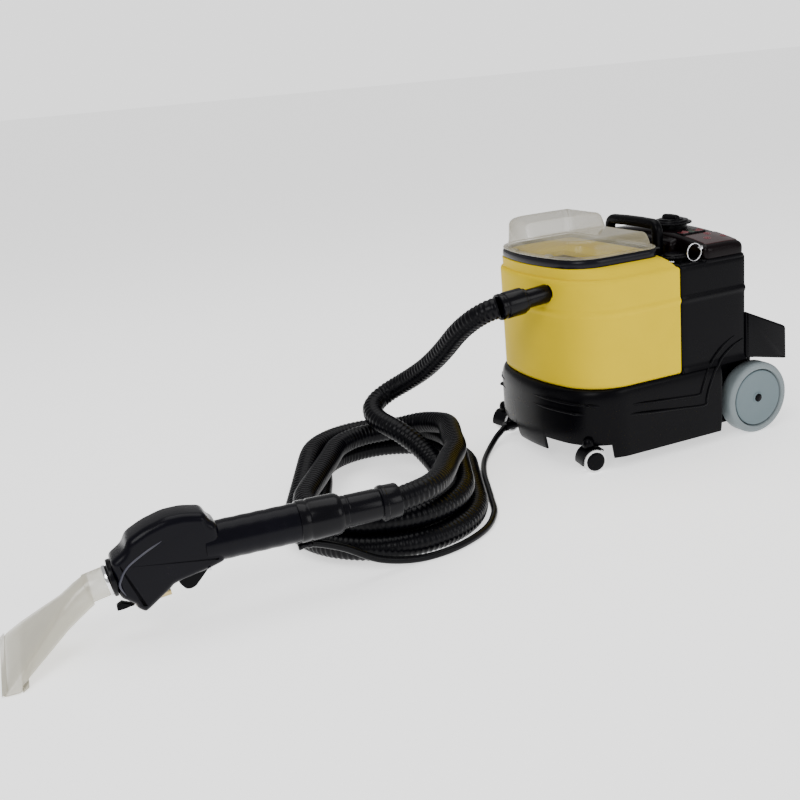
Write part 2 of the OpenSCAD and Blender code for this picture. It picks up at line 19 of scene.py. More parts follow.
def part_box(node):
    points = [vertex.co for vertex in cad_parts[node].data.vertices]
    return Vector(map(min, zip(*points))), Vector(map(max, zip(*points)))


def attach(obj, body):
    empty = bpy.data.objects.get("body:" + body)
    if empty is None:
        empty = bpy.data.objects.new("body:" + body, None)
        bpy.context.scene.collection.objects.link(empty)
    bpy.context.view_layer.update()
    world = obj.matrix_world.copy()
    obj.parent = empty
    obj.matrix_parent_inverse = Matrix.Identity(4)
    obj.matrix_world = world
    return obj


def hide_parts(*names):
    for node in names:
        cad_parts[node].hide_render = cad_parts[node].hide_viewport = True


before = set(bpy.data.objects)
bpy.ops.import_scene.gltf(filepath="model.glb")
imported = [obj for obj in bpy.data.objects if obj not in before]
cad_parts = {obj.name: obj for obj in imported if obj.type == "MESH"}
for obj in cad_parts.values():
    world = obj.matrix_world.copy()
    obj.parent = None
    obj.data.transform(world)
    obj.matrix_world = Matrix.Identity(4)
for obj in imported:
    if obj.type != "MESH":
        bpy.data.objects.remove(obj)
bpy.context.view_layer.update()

logging.basicConfig(level=logging.INFO, format="%(message)s")
log = logging.getLogger("cleaner")

MM = 0.001
ROOT = "machine"
Array = np.ndarray

# where the suction pipe leaves the tank, and which way it points
PORT = (57.0, -226.0, 297.0)
PORT_DROOP = math.radians(5)
PORT_WAY = (0, -math.cos(PORT_DROOP), -math.sin(PORT_DROOP))
# rear wheel's middle and the near caster's pivot
WHEEL_Y, WHEEL_RADIUS = 137.0, 64.0
CASTER_PIVOT = (137.0, -207.3)


class Place:
    """Where the machine's own axes lie in the row frame, read from the rear axle."""

    low, high = (np.array(corner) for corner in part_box("axle"))
    shift = np.array([(low[0] + high[0]) / 2, (low[1] + high[1]) / 2 - WHEEL_Y * MM, 0.0])

    @classmethod
    def point(cls, points: Array) -> Array:
        """Turns machine points into row-frame points.

        Args:
            points: N by 3 millimetres.

        Returns:
            N by 3 metres.
        """
        return np.asarray(points, float) * MM + cls.shift


class Tool:
    """The hand tool's own axes: +Y along it toward the hose, +Z up from its belly."""

    origin = np.array([254.7, -1027.7, 84.0])
    tilt = math.radians(5.84)
    yaw = math.radians(-5.0)
    turn = np.array(Matrix.Rotation(yaw, 3, "Z") @ Matrix.Rotation(tilt, 3, "X"))

    @classmethod
    def point(cls, points: Array) -> Array:
        """Turns hand-tool points into machine points.

        Args:
            points: N by 3 millimetres along the tool's axes.

        Returns:
            N by 3 millimetres along the machine's axes.
        """
        return np.asarray(points, float) @ cls.turn.T + cls.origin


# ---------------------------------------------------------------- finishes


@dataclass
class Recipe:
    """A node material being put together; its textures follow the object's own coordinates."""

    material: bpy.types.Material

    @classmethod
    def start(cls, name: str) -> "Recipe":
        """Begins a recipe.

        Args:
            name: the material's name.

        Returns:
            The recipe, with an untouched shader.
        """
        material = bpy.data.materials.new(name)
        material.use_nodes = True
        return cls(material)

    @property
    def shader(self) -> bpy.types.Node:
        """The material's main shader."""
        return self.material.node_tree.nodes["Principled BSDF"]

    def node(self, kind: str) -> bpy.types.Node:
        """Adds a node.

        Args:
            kind: the node's type.

        Returns:
            The new node.
        """
        return self.material.node_tree.nodes.new(kind)

    def link(self, source: bpy.types.NodeSocket, target: bpy.types.NodeSocket) -> None:
        """Joins two sockets.

        Args:
            source: the output.
            target: the input.
        """
        self.material.node_tree.links.new(source, target)

    def noise(self, scale: float, detail: float) -> bpy.types.NodeSocket:
        """Adds a cloudy texture.

        Args:
            scale: how fine it is.
            detail: how many finer layers it has.

        Returns:
            Its value.
        """
        where, texture = self.node("ShaderNodeTexCoord"), self.node("ShaderNodeTexNoise")
        texture.inputs["Scale"].default_value = scale
        texture.inputs["Detail"].default_value = detail
        self.link(where.outputs["Object"], texture.inputs["Vector"])
        return texture.outputs["Fac"]

    def tint(self, source: bpy.types.NodeSocket, stops: Sequence[tuple[float, Sequence[float]]]) -> None:
        """Colours the shader by a texture.

        Args:
            source: the texture's value.
            stops: two pairs of value and colour.
        """
        ramp = self.node("ShaderNodeValToRGB")
        for stop, (place, colour) in zip(ramp.color_ramp.elements, stops):
            stop.position = place
            stop.color = (*colour, 1)
        self.link(source, ramp.inputs["Fac"])
        self.link(ramp.outputs["Color"], self.shader.inputs["Base Color"])

    def spread(self, source: bpy.types.NodeSocket, low: float, high: float, socket: str) -> None:
        """Drives one of the shader's values by a texture.

        Args:
            source: the texture's value.
            low: the value at 0.
            high: the value at 1.
            socket: which of the shader's inputs it drives.
        """
        spread = self.node("ShaderNodeMapRange")
        spread.inputs["To Min"].default_value = low
        spread.inputs["To Max"].default_value = high
        self.link(source, spread.inputs["Value"])
        self.link(spread.outputs["Result"], self.shader.inputs[socket])


@dataclass(frozen=True)
class Moulded:
    """Moulded plastic or rubber with a fine grain, faint mottling and soft wear."""

    name: str
    colour: tuple[float, float, float]
    slot: str
    rough: float = 0.35
    grain: float = 0.15
    grain_size: float = 900.0
    mottle: float = 0.12
    clear: float = 1.0
    shine: float = 0.25

    def material(self) -> bpy.types.Material:
        """Builds the node material once and returns it."""
        found = bpy.data.materials.get(self.name + "_look")
        if found:
            return found
        recipe = Recipe.start(self.name + "_look")
        shader = recipe.shader
        shader.inputs["Specular IOR Level"].default_value = self.shine
        shader.inputs["Alpha"].default_value = self.clear
        if self.clear < 1.0:
            edge = recipe.node("ShaderNodeLayerWeight")
            edge.inputs["Blend"].default_value = 0.35
            recipe.spread(edge.outputs["Facing"], self.clear, 0.95, "Alpha")
        cloud = recipe.noise(14.0, 5.0)
        dark, light = ([min(1.0, c * (1 + way * self.mottle)) for c in self.colour] for way in (-1, 1))
        recipe.tint(cloud, ((0.3, dark), (0.7, light)))
        recipe.spread(cloud, max(0.02, self.rough - 0.06), self.rough + 0.06, "Roughness")
        bump = recipe.node("ShaderNodeBump")
        bump.inputs["Strength"].default_value = self.grain
        bump.inputs["Distance"].default_value = 0.0004
        recipe.link(recipe.noise(self.grain_size, 2.0), bump.inputs["Height"])
        recipe.link(bump.outputs["Normal"], shader.inputs["Normal"])
        return recipe.material


@dataclass(frozen=True)
class Metal:
    """Bright wire, turned brass or chrome with fine polishing marks."""

    name: str
    colour: tuple[float, float, float]
    slot: str
    rough: float = 0.2

    def material(self) -> bpy.types.Material:
        """Builds the node material once and returns it."""
        found = bpy.data.materials.get(self.name + "_look")
        if found:
            return found
        recipe = Recipe.start(self.name + "_look")
        recipe.shader.inputs["Metallic"].default_value = 1.0
        brush = recipe.noise(260.0, 4.0)
        recipe.tint(brush, ((0.0, [c * 0.8 for c in self.colour]), (1.0, self.colour)))
        recipe.spread(brush, self.rough * 0.7, self.rough * 1.4, "Roughness")
        return recipe.material


class Finish(Enum):
    """Every finish on the machine."""

    BLACK = Moulded("black_moulding", (0.0009, 0.0008, 0.0016), "black_plastic", 0.28, shine=0.07)
    COVER = Moulded("cover_moulding", (0.0025, 0.0008, 0.0014), "cover_plastic", 0.25, shine=0.1)
    YELLOW = Moulded("yellow_moulding", (0.66, 0.475, 0.0), "tank_yellow", 0.4, mottle=0.03, shine=0.04)
    YELLOW_INSIDE = Moulded("yellow_inner", (0.6, 0.43, 0.0), "tank_inner", 0.5, mottle=0.05, shine=0.05)
    RIM = Moulded("rim_moulding", (0.003, 0.003, 0.006), "rim_plastic", 0.24, shine=0.16)
    LID = Moulded("lid_smoke", (0.34, 0.31, 0.22), "lid_clear", 0.1, grain=0.03, mottle=0.03, clear=0.3,
                  shine=0.5)
    GASKET = Moulded("gasket_rubber", (0.01, 0.01, 0.01), "gasket_rubber", 0.7)
    PLATE = Moulded("plate_red", (0.022, 0.0015, 0.003), "label_red", 0.24, shine=0.35)
    MARK = Moulded("mark_pink", (0.2, 0.06, 0.07), "label_red", 0.4)
    SWITCH_RED = Moulded("switch_red", (0.09, 0.002, 0.006), "switch_red", 0.2, shine=0.5)
    SWITCH_GREEN = Moulded("switch_green", (0.004, 0.02, 0.008), "switch_green", 0.2, shine=0.5)
    TYRE = Moulded("tyre_grey", (0.17, 0.2, 0.21), "wheel_tyre", 0.5, grain=0.3, grain_size=500)
    DISC = Moulded("disc_grey", (0.12, 0.16, 0.175), "wheel_disc", 0.4, mottle=0.05)
    WHITE = Moulded("caster_white", (0.8, 0.8, 0.8), "caster_white", 0.4, mottle=0.03)
    MOTOR = Moulded("motor_grey", (0.08, 0.08, 0.09), "motor_grey", 0.5)
    INNER = Moulded("inner_black", (0.01, 0.01, 0.012), "inner_plastic", 0.5)
    FLOAT = Moulded("float_white", (0.7, 0.7, 0.66), "float_white", 0.45)
    CUFF = Moulded("cuff_black", (0.0012, 0.0011, 0.0024), "cuff_plastic", 0.22, shine=0.14)
    GUN = Moulded("gun_blueblack", (0.0014, 0.0013, 0.0034), "gun_plastic", 0.26, shine=0.11)
    # painted highlight: a lighter, glossier black than the tool's body, used for its raised side lines
    GUN_PAINTED_HIGHLIGHT = Moulded("gun_painted_highlight", (0.03, 0.03, 0.045), "gun_plastic", 0.3, shine=0.4)
    MOUTH = Moulded("mouth_milky", (0.62, 0.59, 0.48), "mouth_clear", 0.14, grain=0.03, mottle=0.06,
                    clear=0.5, shine=0.8)
    HOSE = Moulded("hose_black", (0.001, 0.001, 0.002), "hose_black", 0.3, grain=0.1, shine=0.12)
    LINE = Moulded("line_black", (0.0012, 0.0012, 0.002), "line_black", 0.32, shine=0.12)
    STEEL = Metal("bright_steel", (0.7, 0.7, 0.72), "steel", 0.25)
    BRASS = Metal("turned_brass", (0.6, 0.46, 0.2), "brass", 0.3)
    CHROME = Metal("ring_chrome", (0.86, 0.86, 0.88), "chrome", 0.08)


# ---------------------------------------------------------------- mesh making


@dataclass
class Skin:
    """A growing list of points and faces that becomes one piece."""

    points: list
    faces: list

    @classmethod
    def empty(cls) -> "Skin":
        """Returns a skin with nothing in it."""
        return cls([], [])

    def rings(self, stack: Array, start: str = "open", end: str = "open") -> "Skin":
        """Adds a stack of rings joined by quads.

        Args:
            stack: rings by points by 3, each ring in the same order.
            start: "cap" closes the first ring with one face.
            end: "cap" closes the last ring with one face.

        Returns:
            This skin, so that calls can follow each other.
        """
        count, around = stack.shape[:2]
        base = sum(len(p) for p in self.points)
        self.points.append(stack.reshape(-1, 3))
        cols = np.arange(around)
        nxt = (cols + 1) % around
        for row in range(count - 1):
            a = base + row * around
            b = a + around
            self.faces += [(a + i, a + j, b + j, b + i) for i, j in zip(cols.tolist(), nxt.tolist())]
        if start == "cap":
            self.faces.append(tuple(base + i for i in reversed(range(around))))
        if end == "cap":
            self.faces.append(tuple(base + (count - 1) * around + i for i in range(around)))
        return self

    def piece(self, name: str, finish: Finish, body: str = ROOT, replaces: Sequence[str] = (),
              sharp: float = 35.0, tool: bool = False) -> bpy.types.Object:
        """Makes the Blender object from what was gathered.

        Args:
            name: the piece's name.
            finish: what it is made of.
            body: the CAD body it rides on.
            replaces: CAD nodes that it stands for.
            sharp: edges bent more than this many degrees stay crisp.
            tool: whether the points are along the hand tool's axes.

        Returns:
            The new object.
        """
        points = np.vstack(self.points)
        if tool:
            points = Tool.point(points)
        mesh = bpy.data.meshes.new(name)
        mesh.from_pydata(Place.point(points).tolist(), [], self.faces)
        mesh.validate()
        return finish_piece(mesh, name, finish, body, replaces, sharp)


def finish_piece(mesh: bpy.types.Mesh, name: str, finish: Finish, body: str, replaces: Sequence[str],
                 sharp: float) -> bpy.types.Object:
    """Cleans a mesh, dresses it and ties it to its CAD body.

    Args:
        mesh: the mesh in row-frame metres.
        name: the piece's name.
        finish: what it is made of.
        body: the CAD body it rides on.
        replaces: CAD nodes that it stands for.
        sharp: edges bent more than this many degrees stay crisp.

    Returns:
        The new object.
    """
    work = bmesh.new()
    work.from_mesh(mesh)
    bmesh.ops.remove_doubles(work, verts=work.verts, dist=2e-6)
    bmesh.ops.dissolve_degenerate(work, dist=1e-6, edges=work.edges)
    bmesh.ops.recalc_face_normals(work, faces=work.faces)
    work.to_mesh(mesh)
    work.free()
    mesh.shade_smooth()
    mesh.set_sharp_from_angle(angle=math.radians(sharp))
    obj = bpy.data.objects.new(name, mesh)
    bpy.context.scene.collection.objects.link(obj)
    mesh.materials.append(finish.value.material())
    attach(obj, body)
    if replaces:
        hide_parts(*replaces)
    log.info("%s: %d faces", name, len(mesh.polygons))
    return obj


def arc(centre: Sequence[float], radius: float, start: float, stop: float, count: int) -> Array:
    """Points on a flat arc.

    Args:
        centre: the arc's middle.
        radius: its radius.
        start: first angle in degrees.
        stop: last angle in degrees.
        count: how many points.

    Returns:
        count by 2 points.
    """
    a = np.radians(np.linspace(start, stop, count))
    return np.stack([centre[0] + radius * np.cos(a), centre[1] + radius * np.sin(a)], 1)


def rounded(corners: Sequence[Sequence[float]], radius: float, steps: int = 5) -> Array:
    """A closed outline whose corners are turned into small parabolic bends.

    Each bend runs from a point before the corner to one after it, and the curve between is
    the quadratic Bezier with the corner as its handle.

    Args:
        corners: the outline's corners in order.
        radius: how far from a corner its bend begins, at most 0.45 of either side.
        steps: points along each bend.

    Returns:
        N by 2 points.
    """
    p = np.array(corners, float)
    before, after = np.roll(p, 1, 0), np.roll(p, -1, 0)
    t = np.linspace(0, 1, steps)[:, None]
    out = []
    for a, b, c in zip(before, p, after):
        u, v = a - b, c - b
        lu, lv = np.linalg.norm(u), np.linalg.norm(v)
        s = b + u / lu * min(radius, 0.45 * lu)
        e = b + v / lv * min(radius, 0.45 * lv)
        out.append((1 - t) ** 2 * s + 2 * t * (1 - t) * b + t**2 * e)
    return np.vstack(out)


def outward(outline: Array) -> Array:
    """Unit normals of a closed flat outline that runs anticlockwise.

    Args:
        outline: N by 2 points.

    Returns:
        N by 2 unit vectors that point out of the outline.
    """
    tangent = np.roll(outline, -1, 0) - np.roll(outline, 1, 0)
    tangent /= np.maximum(np.linalg.norm(tangent, axis=1), 1e-9)[:, None]
    return np.stack([tangent[:, 1], -tangent[:, 0]], 1)


@dataclass
class Plan:
    """A plan outline with a bowed front: arcs for the bow and for each corner."""

    half: float
    front: float
    corner: float
    bow: float
    rear: float
    rear_corner: float = 4.0

    def corner_y(self) -> float:
        """Where the front corner arcs have their centres.

        The arcs touch the sides and the bow, so
        (bow - corner)^2 = (half - corner)^2 + (centre - bow centre)^2.

        Returns:
            The centres' y.
        """
        reach = self.half - self.corner
        return self.front + self.bow - math.sqrt((self.bow - self.corner) ** 2 - reach**2)

    def outline(self) -> tuple[Array, Array]:
        """Samples the outline anticlockwise, with its outward normals.

        Returns:
            Points and unit normals, N by 2 each.
        """
        yb, yc = self.front + self.bow, self.corner_y()
        reach = self.half - self.corner
        beta = math.degrees(math.asin(reach / (self.bow - self.corner)))
        rr = self.rear_corner
        parts = [
            arc((self.half - rr, self.rear - rr), rr, 0, 90, 7),
            np.stack([np.linspace(self.half - rr, rr - self.half, 50)[1:-1], np.full(48, self.rear)], 1),
            arc((rr - self.half, self.rear - rr), rr, 90, 180, 7),
            np.stack([np.full(58, -self.half), np.linspace(self.rear - rr, yc, 60)[1:-1]], 1),
            arc((-reach, yc), self.corner, 180, 270 - beta, 26),
            arc((0, yb), self.bow, 270 - beta, 270 + beta, 62)[1:-1],
            arc((reach, yc), self.corner, 270 + beta, 360, 26),
            np.stack([np.full(58, self.half), np.linspace(yc, self.rear - rr, 60)[1:-1]], 1),
        ]
        points = np.vstack(parts)
        return points, outward(points)

    def wall(self, profile: Sequence[Sequence[float]]) -> Array:
        """Rings up a wall whose inset changes with height.

        Args:
            profile: pairs of height and inset.

        Returns:
            Rings by points by 3.
        """
        points, normals = self.outline()
        rows = [np.column_stack([points - inset * normals, np.full(len(points), z)]) for z, inset in profile]
        return np.array(rows)


def box_plan(x0: float, x1: float, y0: float, y1: float, radius: float, steps: int = 6) -> Array:
    """An anticlockwise rectangle with round corners.

    Args:
        x0: least x.
        x1: greatest x.
        y0: least y.
        y1: greatest y.
        radius: corner radius.
        steps: points in each corner.

    Returns:
        N by 2 points.
    """
    return np.vstack([
        arc((x1 - radius, y0 + radius), radius, -90, 0, steps),
        arc((x1 - radius, y1 - radius), radius, 0, 90, steps),
        arc((x0 + radius, y1 - radius), radius, 90, 180, steps),
        arc((x0 + radius, y0 + radius), radius, 180, 270, steps),
    ])


def dense(outline: Array, step: float) -> Array:
    """Adds points along a closed outline so that none lie further apart than step.

    Args:
        outline: N by 2 points.
        step: greatest spacing.

    Returns:
        M by 2 points.
    """
    out = []
    for a, b in zip(outline, np.roll(outline, -1, 0)):
        n = max(1, int(math.ceil(np.linalg.norm(b - a) / step)))
        t = np.linspace(0, 1, n, endpoint=False)[:, None]
        out.append(a + (b - a) * t)
    return np.vstack(out)


def pillow(outline: Array, walls: Sequence[Sequence[float]], height: Callable[[Array, Array], Array],
           rings: int = 12) -> Array:
    """Rings for a wall that turns over into a shaped top.

    The top's rings shrink toward the outline's middle, and each point's height comes from a
    formula of its place.

    Args:
        outline: N by 2 anticlockwise points.
        walls: pairs of inset and drop below the top's own height.
        height: gives the top's height at x, y.
        rings: how many rings the top has.

    Returns:
        Rings by points by 3.
    """
    normals = outward(outline)
    rows = []
    for inset, drop in walls:
        flat = outline - inset * normals
        top = height(flat[:, 0], flat[:, 1])
        rows.append(np.column_stack([flat, top - drop if drop >= 0 else np.full(len(flat), -drop)]))
    last = rows[-1][:, :2]
    middle = (last.max(0) + last.min(0)) / 2
    for s in np.linspace(1, 0.002, rings + 1)[1:]:
        flat = middle + (last - middle) * s
        rows.append(np.column_stack([flat, height(flat[:, 0], flat[:, 1])]))
    return np.array(rows)


def lathe(profile: Sequence[Sequence[float]], base: Sequence[float], axis: Sequence[float],
          around: int = 64, swell: Optional[Callable[[Array, Array], Array]] = None) -> Array:
    """Rings of a turned shape.

    Args:
        profile: pairs of radius and distance along the axis.
        base: where the axis starts.
        axis: its direction.
        around: points in each ring.
        swell: adds to the radius by angle and distance.

    Returns:
        Rings by points by 3.
    """
    way = Vector(axis).normalized()
    turn = np.array(Vector((0, 0, 1)).rotation_difference(way).to_matrix())
    a = np.linspace(0, 2 * np.pi, around, endpoint=False)
    rows = []
    for radius, along in profile:
        r = np.full(around, float(radius))
        if swell is not None:
            r = r + swell(a, np.full(around, float(along)))
        rows.append(np.stack([r * np.cos(a), r * np.sin(a), np.full(around, float(along))], 1))
    return np.array(rows) @ turn.T + np.array(base, float)


def level(z: float) -> Callable[[Array, Array], Array]:
    """A flat top for pillow.

    Args:
        z: its height.

    Returns:
        A function that gives this height at every x, y.
    """
    return lambda x, y: np.full(len(x), float(z))


def closing(ring: Array, middle: Array, z: float, scales: Sequence[float]) -> list:
    """Flat rings that shrink toward a point.

    Args:
        ring: N by 2 points.
        middle: the point, as x and y.
        z: the rings' height.
        scales: each ring's share of the first one's size.

    Returns:
        One N by 3 ring for each scale.
    """
    return [np.column_stack([middle + (ring - middle) * s, np.full(len(ring), z)]) for s in scales]


def tapered(count: int, ends: int, thin: float, thick: float) -> Array:
    """Radii of a raised line that fades out at both ends.

    Args:
        count: how many points the line has.
        ends: over how many points each end fades.
        thin: radius at the very ends.
        thick: what the middle adds to it.

    Returns:
        One radius for each point.
    """
    index = np.arange(count)
    return thin + thick * np.minimum(1, np.minimum(index, index[::-1]) / ends)


def smooth_route(points: Sequence[Sequence[float]], step: float) -> Array:
    """A Catmull-Rom curve through the points, sampled evenly.

    Args:
        points: the points it passes through.
        step: spacing along it.

    Returns:
        N by 3 points.
    """
    p = np.array(points, float)
    ends = np.vstack([2 * p[0] - p[1], p, 2 * p[-1] - p[-2]])
    t = np.linspace(0, 1, 24, endpoint=False)[:, None]
    out = []
    for a, b, c, d in zip(ends, ends[1:], ends[2:], ends[3:]):
        square, cube = 2 * a - 5 * b + 4 * c - d, 3 * b - a - 3 * c + d
        out.append(0.5 * (2 * b + (c - a) * t + square * t**2 + cube * t**3))
    return even(np.vstack([*out, p[-1:]]), step)


def even(points: Array, step: float) -> Array:
    """Samples a polyline evenly.

    Args:
        points: N by 3 points.
        step: spacing.

    Returns:
        M by 3 points, with the same ends.
    """
    gaps = np.linalg.norm(np.diff(points, axis=0), axis=1)
    where = np.concatenate([[0], np.cumsum(gaps)])
    count = max(2, int(round(where[-1] / step)) + 1)
    at = np.linspace(0, where[-1], count)
    return np.stack([np.interp(at, where, points[:, k]) for k in range(points.shape[1])], 1)


def length_of(points: Array) -> float:
    """The length of a polyline.

    Args:
        points: N by 3 points.

    Returns:
        Its length, in the points' own unit.
    """
    return float(np.linalg.norm(np.diff(points, axis=0), axis=1).sum())


def sweep(route: Array, radius: Array, around: int = 16, squash: tuple[float, float] = (1.0, 1.0),
          power: float = 2.0) -> Array:
    """Rings of a tube that follows a route without twisting.

    The frame is carried along by taking out of the last normal whatever part points along
    the new direction. The cross-section is a superellipse.

    Args:
        route: N by 3 points.
        radius: one radius for each point.
        around: points in each ring.
        squash: how much of the radius each cross-section axis keeps.
        power: 2 gives an ellipse, more gives a rounded rectangle.

    Returns:
        Rings by points by 3.
    """
    ways = np.gradient(route, axis=0)
    ways /= np.linalg.norm(ways, axis=1)[:, None]
    side = np.cross(ways[0], [0, 0, 1.0])
    if np.linalg.norm(side) < 0.05:
        side = np.array([1.0, 0, 0])
    a = np.linspace(0, 2 * np.pi, around, endpoint=False)
    ca, sa = np.cos(a), np.sin(a)
    ca = np.sign(ca) * np.abs(ca) ** (2 / power) * squash[0]
    sa = np.sign(sa) * np.abs(sa) ** (2 / power) * squash[1]
    rows = []
    for here, way, r in zip(route, ways, radius):
        side = side - way * np.dot(side, way)
        side /= np.linalg.norm(side)
        up = np.cross(way, side)
        rows.append(here + r * (ca[:, None] * side + sa[:, None] * up))
    return np.array(rows)


def slab(outline: Array, half: float, edge: float, steps: int = 4) -> Array:
    """Rings of a plate that stands across X, with rounded edges.

    Args:
        outline: N by 2 points of y and z, anticlockwise seen from +X.
        half: half of its width.
        edge: radius of its edges.
        steps: rings in each edge.

    Returns:
        Rings by points by 3, from -X to +X.
    """
    normals = outward(outline)
    turn = np.linspace(0, np.pi / 2, steps + 1)
    pairs = [(-half + edge * (1 - math.sin(a)), edge * (1 - math.cos(a))) for a in turn[::-1]]
    pairs += [(half - edge * (1 - math.sin(a)), edge * (1 - math.cos(a))) for a in turn]
    rows = []
    for x, inset in pairs:
        flat = outline - inset * normals
        rows.append(np.column_stack([np.full(len(flat), x), flat]))
    return np.array(rows)


def dress(nodes: Sequence[str], finish: Finish) -> None:
    """Gives carried-over CAD nodes a finish.

    Args:
        nodes: the nodes' names.
        finish: what they are made of.
    """
    for name in nodes:
        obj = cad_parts[name]
        obj.data.materials.clear()
        obj.data.materials.append(finish.value.material())
        log.info("%s dressed as %s", name, finish.name)


# ---------------------------------------------------------------- camera, floor and light


@dataclass
class Studio:
    """Pale floor, soft light and the camera."""

    eye: tuple[float, float, float] = (1599.7, -1193.3, 677.7)
    right: tuple[float, float, float] = (0.4286, 0.8991, -0.0889)
    up: tuple[float, float, float] = (-0.2242, 0.2011, 0.9536)
    lens: float = 49.5
    soft_light: float = 0.55
    backdrop: float = 2.15
    floor_glow: float = 1.0
    floor_reach: float = 60.0

    def camera(self) -> None:
        """Places the camera at the machine's near front corner."""
        data = bpy.data.cameras.new("view")
        data.lens = self.lens
        data.sensor_width = 36.0
        data.clip_end = 50.0
        cam = bpy.data.objects.new("view", data)
        r = Vector(self.right).normalized()
        u = (Vector(self.up) - r * r.dot(Vector(self.up))).normalized()
        b = r.cross(u)
        turn = Matrix((r, u, b)).transposed().to_4x4()
        turn.translation = Vector(Place.point([self.eye])[0])
        cam.matrix_world = turn
        bpy.context.scene.collection.objects.link(cam)
        bpy.context.scene.camera = cam

    def floor(self) -> None:
        """Lays a wide pale floor."""
        mesh = bpy.data.meshes.new("floor")
        far = self.floor_reach
        corners = [(-far, -far, 0), (far, -far, 0), (far, far, 0), (-far, far, 0)]
        mesh.from_pydata(corners, [], [(0, 1, 2, 3)])
        floor = bpy.data.objects.new("floor", mesh)
        bpy.context.scene.collection.objects.link(floor)
        mat = bpy.data.materials.new("floor_pale")
        mat.use_nodes = True
        shader = mat.node_tree.nodes["Principled BSDF"]
        shader.inputs["Base Color"].default_value = (0.93, 0.93, 0.93, 1)
        shader.inputs["Roughness"].default_value = 0.9
        shader.inputs["Specular IOR Level"].default_value = 0.1
        shader.inputs["Emission Color"].default_value = (1, 1, 1, 1)
        shader.inputs["Emission Strength"].default_value = self.floor_glow
        mesh.materials.append(mat)

    def lights(self) -> None:
        """Hangs soft lamps above and beside the machine."""
        world = bpy.data.worlds.new("studio")
        world.use_nodes = True
        tree = world.node_tree
        soft = tree.nodes["Background"]
        soft.inputs["Color"].default_value = (1, 1, 1, 1)
        soft.inputs["Strength"].default_value = self.soft_light
        backdrop = tree.nodes.new("ShaderNodeBackground")
        backdrop.inputs["Strength"].default_value = self.backdrop
        rays = tree.nodes.new("ShaderNodeLightPath")
        mix = tree.nodes.new("ShaderNodeMixShader")
        tree.links.new(rays.outputs["Is Camera Ray"], mix.inputs["Fac"])
        tree.links.new(soft.outputs["Background"], mix.inputs[1])
        tree.links.new(backdrop.outputs["Background"], mix.inputs[2])
        tree.links.new(mix.outputs["Shader"], tree.nodes["World Output"].inputs["Surface"])
        bpy.context.scene.world = world
        for name, place, aim, size, power in (
            ("key", (1.9, -2.2, 2.4), (0, 0.1, 0.2), 1.6, 55),
            ("fill", (2.6, 1.6, 1.3), (0, 0.5, 0.2), 1.4, 22),
            ("top", (-0.3, 0.3, 2.6), (0, 0.2, 0.2), 2.2, 38),
        ):
            data = bpy.data.lights.new(name, "AREA")
            data.size = size
            data.energy = power
            lamp = bpy.data.objects.new(name, data)
            lamp.location = place
            lamp.rotation_euler = (Vector(aim) - Vector(place)).to_track_quat("-Z", "Y").to_euler()
            bpy.context.scene.collection.objects.link(lamp)

    def build(self) -> None:
        """Makes the camera, the floor and the lights."""
        self.camera()
        self.floor()
        self.lights()


# ---------------------------------------------------------------- hoses


